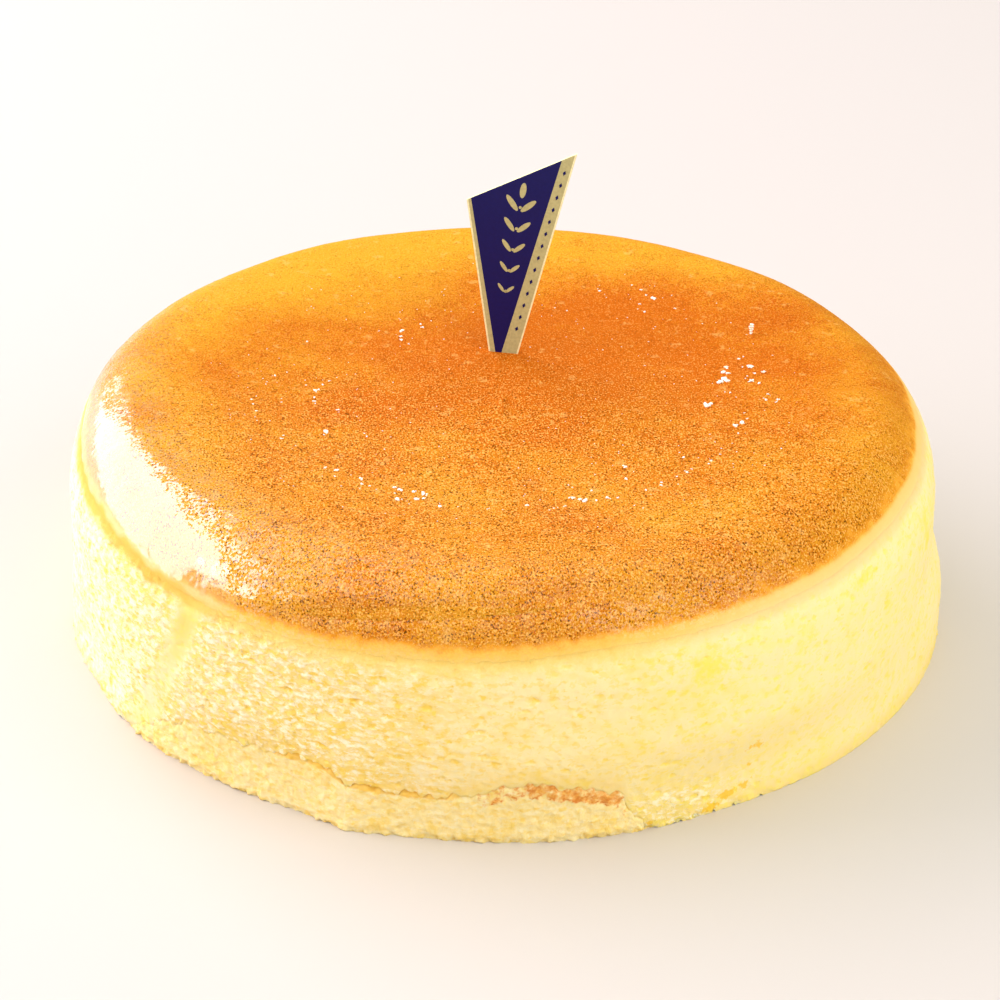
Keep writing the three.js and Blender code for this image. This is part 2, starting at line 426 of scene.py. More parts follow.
def add_sum(tree, first, *others):
    """Adds up sockets and numbers."""
    for other in others:
        first = add_math(tree, "ADD", first, other)
    return first


def add_swing(tree, noise, amount, middle=0.5):
    """How far a noise is from its middle, times an amount."""
    return add_product(tree, add_difference(tree, noise, middle), amount)


def add_vector_math(tree, operation, first, second):
    """One vector maths node; each input is a socket, a vector or, for SCALE, a number."""
    node = tree.nodes.new("ShaderNodeVectorMath")
    node.operation = operation
    feed(tree, node.inputs[0], first)
    feed(tree, node.inputs["Scale"] if operation == "SCALE" else node.inputs[1], second)
    return node.outputs["Vector"]


def add_millimetres(tree, position):
    """A position in millimetres."""
    return add_vector_math(tree, "SCALE", position, 1 / MM)


def add_flattened(tree, place, flatness):
    """The place drawn out in height, so that a pattern laid over it comes out flatter."""
    return add_vector_math(tree, "MULTIPLY", place, (1, 1, flatness))


def add_map(tree, value, from_low, from_high, to_low=0.0, to_high=1.0, smooth=True):
    """A map range node, clamped."""
    node = tree.nodes.new("ShaderNodeMapRange")
    node.interpolation_type = "SMOOTHSTEP" if smooth else "LINEAR"
    feed_all(tree, node, {"Value": value, "From Min": from_low, "From Max": from_high,
                          "To Min": to_low, "To Max": to_high})
    return node.outputs["Result"]


def add_noise(tree, vector, size, detail=2.0, roughness=0.6, output=0):
    """A noise from 0 to 1 whose features are about size millimetres wide."""
    node = tree.nodes.new("ShaderNodeTexNoise")
    feed_all(tree, node, {"Vector": vector, "Scale": 1 / size, "Detail": detail, "Roughness": roughness})
    return node.outputs[output]


def add_upright(tree, parts):
    """A vector from the given parts of another: X, Y or Z."""
    node = tree.nodes.new("ShaderNodeCombineXYZ")
    feed_all(tree, node, parts)
    return node.outputs[0]


def add_round_the_side(tree, position):
    """Millimetres on a plain cylinder: what a point's place would be if the side had no dents."""
    split = add_split(tree, add_millimetres(tree, position))
    flat = add_upright(tree, {"X": split["X"], "Y": split["Y"]})
    direction = add_vector_math(tree, "NORMALIZE", flat, (0, 0, 0))
    ring = add_vector_math(tree, "SCALE", direction, float(CAKE_RADIUS))
    return add_vector_math(tree, "ADD", ring, add_upright(tree, {"Z": split["Z"]}))


def add_pits(tree, vector, width, flatness, smallest, largest):
    """Pits of random size, one in each flattened cell: 1 at their middle, 0 outside."""
    cells = tree.nodes.new("ShaderNodeTexVoronoi")
    feed_all(tree, cells, {"Vector": add_flattened(tree, vector, flatness), "Scale": 1 / width})
    drawn = add_split(tree, cells.outputs["Color"])[0]
    radius = add_map(tree, drawn, 0.0, 1.0, smallest, largest, smooth=False)
    radius = add_math(tree, "MAXIMUM", radius, LEAST_PIT)
    return add_map(tree, cells.outputs["Distance"], radius, add_product(tree, radius, PIT_FLOOR))


# %% Crumb pattern
# Width, flatness, smallest and largest pit; a size below 0 leaves some cells without one.
PORES = (2.2, 1.7, -0.05, 0.5)
CLEFTS = (5.5, 3.4, -0.7, 0.36)
TEAR_SIZE = 0.9
TEAR_REACH = 0.45
LUMP_SIZE = 1.5
LUMP_FLATNESS = 1.4
FLAKE_SIZE = 1.5
FLAKE_FLATNESS = 1.9


def add_torn_place(tree, place):
    """The place wobbled a little, so that the edges of pores look torn."""
    wobble = add_noise(tree, place, TEAR_SIZE, detail=1.0, roughness=0.5, output="Color")
    centred = add_vector_math(tree, "SUBTRACT", wobble, (0.5, 0.5, 0.5))
    return add_vector_math(tree, "ADD", place, add_vector_math(tree, "SCALE", centred, TEAR_REACH * 2))


def add_openings(tree, torn):
    """Small pores and flat clefts, each 0 to 1."""
    return add_pits(tree, torn, *PORES), add_pits(tree, torn, *CLEFTS)


def add_lumps(tree, torn):
    """The lumps between the pores, about 0.5 on average."""
    return add_noise(tree, add_flattened(tree, torn, LUMP_FLATNESS), LUMP_SIZE)


def add_flakes(tree, place):
    """Torn flat flakes where the lining took crumb away: high in their hollows, low on their ridges."""
    flattened = add_flattened(tree, place, FLAKE_FLATNESS)
    return add_noise(tree, flattened, FLAKE_SIZE, detail=3.0, roughness=0.65)


print("pores", PORES[0], "mm wide,", round(PORES[0] / PORES[1], 2), "mm high")

# %% [markdown]
# ## The half section
# Half of the cake's outline, from the middle of the top over the shoulder and down to the table, as a
# function of the distance walked along it. Both the skin and the crumb take their places from it, so they
# always fit each other.

# %% Half section
SECTION_STEPS = 400


def build_section():
    """Distance walked, radius, height and outward normal along the plain half section."""
    flat = np.linspace(0, CREST_RADIUS, SECTION_STEPS)[:-1]
    turn = np.linspace(math.pi / 2, 0, SECTION_STEPS)[:-1]
    down = np.linspace(WALL_TOP, 0, SECTION_STEPS)
    radius = np.concatenate((flat, CREST_RADIUS + SHOULDER_IN * np.cos(turn),
                             np.full_like(down, CAKE_RADIUS)))
    height = np.concatenate((CAKE_HEIGHT - dish(flat), WALL_TOP + SHOULDER_DOWN * np.sin(turn), down))
    along = np.concatenate(([0], np.cumsum(np.hypot(np.diff(radius), np.diff(height)))))
    step_r, step_z = np.gradient(radius, along), np.gradient(height, along)
    length = np.hypot(step_r, step_z)
    return along, radius, height, -step_z / length, step_r / length


SECTION = build_section()


def on_section(walked, inset=0.0):
    """Radius and height at a distance along the half section, moved inwards by an inset."""
    along, radius, height, normal_r, normal_z = SECTION
    r, z = np.interp(walked, along, radius), np.interp(walked, along, height)
    out_r, out_z = np.interp(walked, along, normal_r), np.interp(walked, along, normal_z)
    return r - inset * out_r, z - inset * out_z


def walked_at(height):
    """Distance along the half section at a height on the shoulder or side."""
    along, radius, heights = SECTION[:3]
    outer = radius > CREST_RADIUS
    return np.interp(-np.asarray(height), -heights[outer], along[outer])


print("half section", round(SECTION[0][-1], 1), "mm long")

# %% [markdown]
# ## Rows of a cylinder
# Crumb and sponge both start as an upright cylinder with very many sides. Subdividing its upright edges
# cuts it into rows, and each row is then put in its place. A plain cylinder keeps the count of sides the
# same from top to bottom, so the pores come out equally sharp all over.

# %% Cylinder with rows
def make_cylinder_rows(name, sides, rows):
    """A cylinder 1 m high, cut into rows; returns it with the row and the angle of each point."""
    bpy.ops.object.select_all(action="DESELECT")
    bpy.ops.mesh.primitive_cylinder_add(vertices=sides, radius=CAKE_RADIUS * MM, depth=1,
                                        location=(0, 0, 0))
    piece = bpy.context.object
    piece.name = name
    bpy.ops.object.mode_set(mode="EDIT")
    bpy.ops.mesh.select_mode(type="EDGE")
    bpy.ops.mesh.select_all(action="DESELECT")
    bpy.ops.object.mode_set(mode="OBJECT")
    ends = np.array([edge.vertices for edge in piece.data.edges])
    heights = points_of(piece)[:, 2]
    piece.data.edges.foreach_set("select", np.abs(heights[ends[:, 0]] - heights[ends[:, 1]]) > 1)
    bpy.ops.object.mode_set(mode="EDIT")
    bpy.ops.mesh.subdivide(number_cuts=rows - 2)
    bpy.ops.object.mode_set(mode="OBJECT")
    angle, _, height = polar_of(piece)
    row = np.rint((height * MM + 0.5) * (rows - 1)).astype(int)
    return piece, row, angle


# %% [markdown]
# ## Relief by Geometry Nodes
# A relief is a modifier that moves each point along its normal. How far is worked out by nodes, times a
# mask kept on the points. It is applied at once, so the dents are real mesh. The smooth parts are then
# thinned out, as they need far fewer faces than the torn ones.

# %% Relief modifier
# Faces that meet at more than this many degrees keep a sharp edge.
SHARP_EDGE = 75


def add_relief(piece, name, build_offset):
    """Moves each point along its normal by the millimetres that build_offset's nodes give."""
    tree = bpy.data.node_groups.new(name, "GeometryNodeTree")
    for direction in ("INPUT", "OUTPUT"):
        tree.interface.new_socket("Geometry", in_out=direction, socket_type="NodeSocketGeometry")
    position = tree.nodes.new("GeometryNodeInputPosition").outputs[0]
    normal = tree.nodes.new("GeometryNodeInputNormal").outputs[0]
    mask = tree.nodes.new("GeometryNodeInputNamedAttribute")
    mask.data_type = "FLOAT"
    mask.inputs["Name"].default_value = "relief"
    offset = add_product(tree, build_offset(tree, position), mask.outputs["Attribute"])
    along = add_vector_math(tree, "SCALE", normal, add_product(tree, offset, MM))
    move = tree.nodes.new("GeometryNodeSetPosition")
    feed_all(tree, move, {"Geometry": tree.nodes.new("NodeGroupInput").outputs[0], "Offset": along})
    tree.links.new(move.outputs[0], tree.nodes.new("NodeGroupOutput").inputs[0])
    piece.modifiers.new(name, "NODES").node_group = tree
    apply_modifiers(piece)


def stand_on_table(piece, foot=None):
    """Puts the foot's points on the table and flattens what the relief pushed below it."""
    points = points_of(piece)
    points[:, 2] = np.clip(points[:, 2], 0, None)
    if foot is not None:
        points[foot, 2] = 0
    set_points(piece, points)


def settle_piece(piece, foot, triangles):
    """Stands the piece on the table, thins its smooth parts out to a number of triangles and shades it."""
    stand_on_table(piece, foot)
    modifier = piece.modifiers.new("thin_out", "DECIMATE")
    modifier.ratio = min(1, triangles / count(piece))
    apply_modifiers(piece)
    stand_on_table(piece)
    bpy.ops.object.shade_smooth_by_angle(angle=math.radians(SHARP_EDGE))
    print(piece.name, "triangles:", count(piece))


# %% [markdown]
# ## Sponge base
# A thin disc of sponge lies under the cheesecake. Its edge shows at the front left, where the cheesecake
# did not run down over it. Where it shows and how high it is are rules over the angle. Its own crumb is
# finer and drier than the cheesecake's, and its foot is ragged where it was lifted off the tin.

# %% Sponge base: form
SPONGE_HEIGHT = 10
SPONGE_HIDDEN_RADIUS = 68
SPONGE_PROUD = 0.15
SPONGE_EDGE_WEAR = 0.3
# The seam between sponge and cheesecake, from the table up and back down to it: (angle, height).
SEAM_LINE = [(-150, 0), (-145, 2), (-140, 6), (-133, 10), (-128, 10.3), (-121, 11), (-114, 12),
             (-112, 11.6), (-109, 9.7), (-103, 8.8), (-96, 8.9), (-91.5, 10.4), (-88, 12.2), (-84.5, 12.3),
             (-82.5, 11.3), (-76.5, 9.8), (-74.6, 8.8), (-74, 7.4), (-73.7, 5.6), (-72.8, 5), (-72.5, 3.4),
             (-71.3, 3), (-71, 1.5), (-69.8, 1.1), (-69.4, 0)]
# The cheesecake hangs this far over the sponge. Both draw in over that height, so where one surface
# passes behind the other is decided by their lumps, and the seam is as ragged as a torn one.
SEAM_OVERLAP = 1.5
SEAM_INSET = 0.9
# Between these angles the cheesecake ends in a small ledge with a hollow under it.
LEDGE_FROM = -119
LEDGE_TO = -96
LEDGE_OVERLAP = 0.3


def seam_height(angle):
    """Height of the ragged seam between sponge and cheesecake at the side."""
    a = np.radians(angle)
    ragged = 0.35 * np.sin(67 * a) + 0.3 * np.sin(121 * a + 2) + 0.25 * np.sin(233 * a)
    line = line_at(SEAM_LINE, angle)
    return line + ragged * smoothstep(line, 0, 5)


def sponge_shows(angle):
    """1 where the sponge reaches the side, 0 where it stays hidden."""
    return smoothstep(seam_height(angle), 0.1, 1.2)


def ledge(angle):
    """1 where the cheesecake ends in a ledge."""
    started = smoothstep(angle, LEDGE_FROM - 3, LEDGE_FROM + 2)
    return started * (1 - smoothstep(angle, LEDGE_TO - 2, LEDGE_TO + 3))


def seam_overlap(angle):
    """How far the cheesecake hangs over the sponge."""
    return SEAM_OVERLAP + (LEDGE_OVERLAP - SEAM_OVERLAP) * ledge(angle)


# %% Sponge base: mesh
SPONGE_SIDES = 1500
SPONGE_SIDE_ROWS = 34
SPONGE_HIDDEN_ROWS = 6
SPONGE_TRIANGLES = 90000
SPONGE_LUMP = 1.2
SPONGE_LUMP_DEPTH = 0.6
SPONGE_PORES = (1.3, 1.2, -0.2, 0.4)
SPONGE_PORE_DEPTH = 0.22
RAGGED_FOOT = 0.7
RAGGED_HEIGHT = 1.4
RAGGED_SIZE = 1.5


def add_ragged_foot(tree, place):
    """Loose crumbs along the foot, in millimetres along the normal."""
    low = add_map(tree, add_split(tree, place)["Z"], RAGGED_HEIGHT, 0.3)
    crumbs = add_noise(tree, place, RAGGED_SIZE, detail=3.0, roughness=0.65)
    reach = add_map(tree, crumbs, 0.3, 0.72, -RAGGED_FOOT, RAGGED_FOOT, smooth=False)
    return add_product(tree, reach, low)


def sponge_offset(tree, position):
    """Fine lumps, small pores and the ragged foot."""
    place = add_millimetres(tree, position)
    swell = add_swing(tree, add_noise(tree, place, SPONGE_LUMP), 2 * SPONGE_LUMP_DEPTH)
    pores = add_product(tree, add_pits(tree, place, *SPONGE_PORES), SPONGE_PORE_DEPTH)
    return add_sum(tree, add_difference(tree, swell, pores), add_ragged_foot(tree, place))


def make_sponge():
    """The sponge disc: rows up its side to the seam, then in along the seam and up to its hidden top."""
    rows = SPONGE_SIDE_ROWS + SPONGE_HIDDEN_ROWS
    piece, row, angle = make_cylinder_rows("sponge_layer", SPONGE_SIDES, rows)
    shows = sponge_shows(angle)
    share = np.clip(row / (SPONGE_SIDE_ROWS - 1), 0, 1)
    hidden = np.clip(row - SPONGE_SIDE_ROWS + 1, 0, None) / SPONGE_HIDDEN_ROWS
    shoulder = seam_height(angle) * shows + (SPONGE_HEIGHT - 0.2) * (1 - shows)
    height = np.where(hidden > 0, shoulder + (SPONGE_HEIGHT - shoulder) * smoothstep(hidden, 0.4, 1),
                      share * shoulder)
    side = wall_radius(angle, height) + SPONGE_PROUD - SPONGE_EDGE_WEAR * (1 - smoothstep(height, 0, 1.2))
    side = side - SEAM_INSET * smoothstep(height - shoulder, -SEAM_OVERLAP, 0.2) ** 2
    radius = SPONGE_HIDDEN_RADIUS + (side - SPONGE_HIDDEN_RADIUS) * shows
    radius = radius + (SPONGE_HIDDEN_RADIUS - 0.3 - radius) * smoothstep(hidden, 0, 0.5) - 2 * hidden
    place_points(piece, angle, radius, height)
    store_masks(piece, {"relief": shows * (hidden < 0.3)})
    return piece, row == 0


sponge, sponge_foot = make_sponge()
add_relief(sponge, "sponge_relief", sponge_offset)
settle_piece(sponge, sponge_foot, SPONGE_TRIANGLES)

# %% [markdown]
# ## Where the crumb is rough
# The paper lining came away with some of the crumb. At the front left it took most, so the pores are
# deep; at the right it left the side nearly smooth. Just under the browned edge and along the paper
# fold's dent the side is smooth too.

# %% Masks round the side
ROUGHER = [(-128, 30, 0.5), (-45, 45, -0.25), (60, 40, 0.1)]
MIDDLE_ROUGHNESS = 0.5


def crumb_amount(angle, height):
    """How open the crumb is: 0 smooth, 1 fully torn."""
    below_edge = edge_height(angle) - height
    region = MIDDLE_ROUGHNESS + swell_at(ROUGHER, angle)
    region = region + 0.5 * bell(angle, -66, 12) * (1 - smoothstep(height, 4, 12))
    started = smoothstep(below_edge, 0.8, 4.0)
    return region * started * (1 - 0.7 * crease_mask(angle, height))


# %% [markdown]
# ## The crumb body
# It could be sculpted by hand, but a rule gives the same care all round. The rows of a cylinder run from
# the recess for the sponge, round the foot, up the side and over the shoulder to just under the skin.

# %% Crumb body: form
CRUMB_SIDES = 1400
RECESS_ROWS = 3
RECESS_RADIUS = 68.4
RECESS_HEIGHT = 10.4
SHOULDER_END = 41.5
UNDER_SKIN = 1.6
UNDER_SKIN_ROWS = 5
SIDE_ROW_STEP = 0.33
CRUMB_TRIANGLES = 192000
CRUMB_PORE_DEPTH = 0.3
CRUMB_CLEFT_DEPTH = 0.7
CRUMB_LUMP_DEPTH = 0.65
SEAM_ROUGHNESS = 0.8


def crumb_offset(tree, position):
    """Pores, clefts, lumps and the ragged foot in millimetres along the normal."""
    torn = add_torn_place(tree, add_round_the_side(tree, position))
    pores, clefts = add_openings(tree, torn)
    swell = add_swing(tree, add_lumps(tree, torn), 2 * CRUMB_LUMP_DEPTH)
    dents = add_sum(tree, add_product(tree, pores, CRUMB_PORE_DEPTH),
                    add_product(tree, clefts, CRUMB_CLEFT_DEPTH))
    foot = add_ragged_foot(tree, add_millimetres(tree, position))
    return add_sum(tree, add_difference(tree, swell, dents), foot)


def make_crumb():
    """The crumb body before its relief, with its relief mask, and which points stand on the table."""
    walk_foot, walk_end = SECTION[0][-1], float(walked_at(SHOULDER_END))
    side_rows = int((walk_foot - walk_end) / SIDE_ROW_STEP) + 1
    radius, height = on_section(np.linspace(walk_foot, walk_end, side_rows))
    under_walk = np.linspace(walk_end - 1.5, DISH_FLAT_RADIUS, UNDER_SKIN_ROWS)
    under_radius, under_height = on_section(under_walk, UNDER_SKIN)
    rows = RECESS_ROWS + side_rows + UNDER_SKIN_ROWS
    piece, row, angle = make_cylinder_rows("cheesecake_crumb", CRUMB_SIDES, rows)
    all_radius = np.concatenate((np.zeros(RECESS_ROWS), radius, under_radius))[row]
    all_height = np.concatenate((np.zeros(RECESS_ROWS), height, under_height))[row]

    shows, overlap = sponge_shows(angle), seam_overlap(angle)
    bottom = seam_height(angle) - overlap * shows
    lifted = all_height + bottom * np.clip(1 - all_height / WALL_TOP, 0, 1)
    new_radius, new_height = cake_form(angle, all_radius, lifted)
    near_seam = (1 - smoothstep(new_height - bottom, -0.2, overlap)) * shows
    new_radius = new_radius - SEAM_INSET * near_seam ** 2 * (1 - ledge(angle))
    recess_radius = np.array([60, RECESS_RADIUS - 0.1, RECESS_RADIUS])[np.clip(row, 0, 2)]
    recess_radius = recess_radius - 0.5 * (row == 2) * (1 - shows)
    recess_height = np.where(row < 2, RECESS_HEIGHT, bottom)
    in_recess = row < RECESS_ROWS
    place_points(piece, angle, np.where(in_recess, recess_radius, new_radius),
                 np.where(in_recess, recess_height, new_height))
    on_side = (row >= RECESS_ROWS) & (row < RECESS_ROWS + side_rows)
    amount = np.maximum(crumb_amount(angle, new_height), SEAM_ROUGHNESS * near_seam)
    store_masks(piece, {"relief": amount * on_side})
    return piece, (row == RECESS_ROWS) & (seam_height(angle) < 0.05)


# %% Crumb body: relief
crumb, crumb_foot = make_crumb()
add_relief(crumb, "crumb_relief", crumb_offset)
settle_piece(crumb, crumb_foot, CRUMB_TRIANGLES)

# %% [markdown]
# ## The baked skin
# The browned top is a thin skin that bends down over the shoulder and fades into the crumb. It is made as
# a square grid, mapped to a disc so its faces stay even, then laid over the cake's form. The grid is drawn
# closer at the rim and at the left, where the shine shows every grain. Its lower edge dips into the crumb,
# so the two surfaces meet in an uneven line as they do on a real cake.

# %% Baked skin: a grid mapped to a disc
SKIN_GRID = 284
SKIN_THICKNESS = 1.3
SKIN_INNER_RINGS = 7
SKIN_PROUD = 0.15
SKIN_DIVE = 1.0
SKIN_DIVES_OVER = (1.0, 5.5)
SKIN_REACH = 6.5
RIM_CROWDING = 0.3
SHINE_ANGLE = -165
SHINE_CROWDING = 0.42


def square_to_disc(x, y):
    """Maps a square from -1 to 1 to a disc: (share of the radius, angle in degrees)."""
    share = np.maximum(np.abs(x), np.abs(y))
    wide = np.abs(x) > np.abs(y)
    across = np.divide(y, x, out=np.zeros_like(x), where=wide)
    along = np.divide(x, y, out=np.zeros_like(x), where=~wide & (y != 0))
    angle = np.where(wide, 45 * across, 90 - 45 * along)
    return share, angle + np.where(np.where(wide, x, y) < 0, 180, 0)


def crowd_angle(angle, share):
    """Turns the grid lines towards the shiny side, more so near the rim."""
    away = np.radians(angle - SHINE_ANGLE)
    return angle - np.degrees(SHINE_CROWDING * share ** 2 * np.sin(away))


def make_skin_grid():
    """A flat grid whose rim is extruded down once for each ring of the underside."""
    bpy.ops.object.select_all(action="DESELECT")
    bpy.ops.mesh.primitive_grid_add(x_subdivisions=SKIN_GRID, y_subdivisions=SKIN_GRID, size=2)
    piece = bpy.context.object
    piece.name = "baked_skin"
    bpy.ops.object.mode_set(mode="EDIT")
    bpy.ops.mesh.select_mode(type="EDGE")
    bpy.ops.mesh.select_all(action="SELECT")
    bpy.ops.mesh.region_to_loop()
    for _ in range(SKIN_INNER_RINGS):
        bpy.ops.mesh.extrude_edges_move(TRANSFORM_OT_translate={"value": (0, 0, -1)})
    bpy.ops.mesh.edge_face_add()
    bpy.ops.object.mode_set(mode="OBJECT")
    return piece


def shape_skin(piece):
    """Lays the grid over the cake: its outer side on the form, its underside a skin's thickness below."""
    points = points_of(piece) / 1000
    ring = np.rint(-points[:, 2])
    share, angle = square_to_disc(points[:, 0], points[:, 1])
    angle = crowd_angle(angle, share)
    end = walked_at(edge_height(angle) - SKIN_REACH)
    walked = end * ((1 + RIM_CROWDING) * share - RIM_CROWDING * share ** 3)
    walked = np.where(ring > 0, end * (1 - (ring / SKIN_INNER_RINGS) ** 1.5 * 0.8) - 0.4, walked)
    below_edge = edge_height(angle) - on_section(walked)[1]
    dive = SKIN_DIVE * smoothstep(below_edge, *SKIN_DIVES_OVER)
    inset = np.where(ring > 0, SKIN_THICKNESS + dive * 0.3, dive - SKIN_PROUD)
    place_points(piece, angle, *cake_form(angle, *on_section(walked, inset)))
    return ring


skin = make_skin_grid()
skin_ring = shape_skin(skin)
bpy.ops.object.shade_smooth()
print("skin triangles:", count(skin))

# %% [markdown]
# ## Folds and ripples of the skin
# As the cake cools and sinks, the skin wrinkles: a shallow furrow runs along the front edge, a low blister
# sits beside it, a little crease leads away from the card's slit, and the left shoulder ripples finely.
# Each is a small smooth rule added to the points.

# %% Baked skin: folds
# Furrow along the front edge, from one (angle, height) to the other in a slanting path on the shoulder.
FURROW_FROM = (-116, 37.6)
FURROW_TO = (-76, 43.2)
FURROW_WIDTH = 1.3
FURROW_DEPTH = 0.28
# A low blister: angle, height, half length, half height, how far it stands out.
BLISTER = (-121.5, 37.6, 3.0, 1.1, 0.5)
SLIT_CREASE = ((-1.2, 13.5), (-2.1, -3.4))
SLIT_CREASE_WIDTH = 0.55
SLIT_CREASE_HEIGHT = 0.3
GRAIN_SIZE = 0.5
GRAIN_DEPTH = 0.12
RIPPLE_SIZE = 5.0
RIPPLE_DEPTH = 0.2


def furrow(angle, height):
    """Depth of the furrow and the ridge above it."""
    share = (angle - FURROW_FROM[0]) / (FURROW_TO[0] - FURROW_FROM[0])
    line = FURROW_FROM[1] + (FURROW_TO[1] - FURROW_FROM[1]) * np.clip(share, 0, 1) ** 0.7
    across = (height - line) / FURROW_WIDTH
    ends = smoothstep(share, -0.1, 0.15) * (1 - smoothstep(share, 0.75, 1.15))
    return ends * (0.6 * np.exp(-((across - 1.7) ** 2)) - np.exp(-(across ** 2))) * FURROW_DEPTH


def slit_crease(x, y):
    """A thin ridge from the slit towards the front left."""
    start, end = np.array(SLIT_CREASE)
    step = end - start
    share = np.clip(((x - start[0]) * step[0] + (y - start[1]) * step[1]) / (step @ step), 0, 1)
    bend = 0.4 * np.sin(share * 5)
    away = np.hypot(x - start[0] - share * step[0] - bend, y - start[1] - share * step[1])
    return SLIT_CREASE_HEIGHT * (1 - share) * np.exp(-((away / SLIT_CREASE_WIDTH) ** 2))


def fold_skin(piece, ring):
    """Adds the folds to the outer side."""
    angle, radius, height = polar_of(piece)
    a = np.radians(angle)
    outer = ring == 0
    out = outer * (furrow(angle, height) + marks_at([BLISTER], angle, height))
    lean = smoothstep(radius, CREST_RADIUS - 6, CAKE_RADIUS)
    up = outer * slit_crease(radius * np.cos(a), radius * np.sin(a))
    place_points(piece, angle, radius + out * lean, height + out * (1 - lean * 0.5) + up)
    shiny = bell(angle, SHINE_ANGLE + 12, 42) * smoothstep(radius, 50, 66)
    above_edge = smoothstep(height - edge_height(angle), -2.5, 0.5)
    store_masks(piece, {"relief": outer * (0.35 + 0.65 * shiny) * above_edge})


def skin_offset(tree, position):
    """Fine grain with ripples under it."""
    place = add_millimetres(tree, position)
    ripple = add_noise(tree, place, RIPPLE_SIZE, roughness=0.5)
    grain = add_noise(tree, place, GRAIN_SIZE)
    return add_sum(tree, add_swing(tree, ripple, 2 * RIPPLE_DEPTH), add_swing(tree, grain, 2 * GRAIN_DEPTH))


fold_skin(skin, skin_ring)
add_relief(skin, "skin_relief", skin_offset)
print("skin with folds, height", round(points_of(skin)[:, 2].max(), 1), "mm")

# %% [markdown]
# ## Colours
# Colours are picked as screen values from 0 to 255 and turned into the linear values that the
# shader works with.

# %% Colours
def screen_colour(red, green, blue):
    """A colour from screen values 0 to 255, as linear RGBA."""
    values = [v / 255 for v in (red, green, blue)]
    linear = [v / 12.92 if v <= 0.04045 else ((v + 0.055) / 1.055) ** 2.4 for v in values]
    return (*linear, 1.0)


CRUMB_PALE = screen_colour(251, 230, 166)
# The deep colour serves the crumb's own spots and the painted shade in its pores and hollows.
CRUMB_DEEP = screen_colour(249, 210, 92)
CRUMB_DEEP_RIGHT = screen_colour(252, 228, 104)
# Painted light: the deep crumb colour for the left side, paler where the window's light falls.
CRUMB_DEEP_PAINTED_GLARE = screen_colour(248, 224, 118)
CRUMB_TORN = screen_colour(252, 202, 52)
CRUMB_SPECK = screen_colour(224, 196, 96)
# Painted light: the pale crumb colour for the left side, where the window's light falls.
CRUMB_PAINTED_GLARE = screen_colour(251, 239, 210)
# Painted highlight: the lighter colour of the torn ridges.
CRUMB_RIDGE_HIGHLIGHT = screen_colour(253, 247, 226)
# The paper fold's deeper yellow; also painted shade just above the seam and the foot.
CRUMB_FOLD_AND_SEAM_SHADE = screen_colour(247, 202, 84)
CRUMB_LEMON = screen_colour(252, 228, 92)
CRUMB_UNDER_EDGE = screen_colour(250, 206, 132)
SKIN_LIGHT = screen_colour(229, 164, 36)
SKIN_BROWN = screen_colour(200, 98, 0)
SKIN_DOT = screen_colour(116, 68, 0)
SKIN_GOLDEN = screen_colour(228, 184, 76)
# Painted highlight: lighter specks that stand for glinting grains on the sandy top.
SKIN_PAINTED_GLINT = screen_colour(252, 190, 96)
SKIN_MELT = screen_colour(250, 200, 112)
# From the crumb up to the baked top: (millimetres above the browned edge, colour).
EDGE_COLOURS = [
    (-4.5, screen_colour(250, 220, 134)),
    (-3.0, screen_colour(250, 212, 116)),
    (-1.9, screen_colour(249, 203, 98)),
    (-0.8, screen_colour(247, 190, 80)),
    (0.1, screen_colour(238, 156, 40)),
    (1.4, screen_colour(232, 146, 30)),
]
SPONGE_PALE = screen_colour(252, 231, 166)
SPONGE_DEEP = screen_colour(249, 214, 112)
# Painted shade under the cheesecake's ledge and along the seam.
SPONGE_SEAM_SHADE = screen_colour(246, 192, 70)
SPONGE_BROWN = screen_colour(240, 160, 64)
SPONGE_BURNT = screen_colour(214, 126, 46)
SUGAR_WHITE = screen_colour(250, 246, 236)
SUGAR_MELTED = screen_colour(252, 226, 176)
CARD_NAVY = screen_colour(6, 16, 92)
CARD_GOLD = screen_colour(194, 190, 134)
CARD_EDGE = screen_colour(255, 252, 196)


def add_object_position(tree):
    """Object coordinates, which here are metres on the cake."""
    return tree.nodes.new("ShaderNodeTexCoord").outputs["Object"]


def add_attribute(tree, name):
    """A number kept on the piece's points."""
    node = tree.nodes.new("ShaderNodeAttribute")
    node.attribute_name = name
    return node.outputs["Fac"]


def add_colour_mix(tree, share, first, second):
    """Mixes two colours, each a socket or a value."""
    node = tree.nodes.new("ShaderNodeMix")
    node.data_type = "RGBA"
    feed_all(tree, node, {"Factor": share, "A": first, "B": second})
    return node.outputs["Result"]


print("crumb colours from", CRUMB_PALE[:3], "to", CRUMB_DEEP[:3])


# %% [markdown]
# ## Crumb colours as a node group
# The crumb pattern is put into one shader group. Cheesecake and sponge both use it with their own
# colours. It paints shade into the pores, clefts and hollows as a deeper yellow, the way a real foam looks
# there because light has passed through more cake by the time it comes out of them, and it paints a
# highlight on the torn ridges by making them lighter.

# %% Node group: crumb colour
# How much each part of the pattern deepens the colour: painted shade in the pores, hollows and clefts,
# the crumb's own uneven tone in the spots, clouds and mottle.
PORE_SHADE = 0.5
HOLLOW_SHADE = 0.5
DEEP_SPOTS = 0.45
CLEFT_SHADE = 0.6
DEEP_CLOUDS = 0.3
DEEP_MOTTLE = 0.3
RIDGE_HIGHLIGHT_SHARE = 0.6
SPECK_SHARE = 0.4


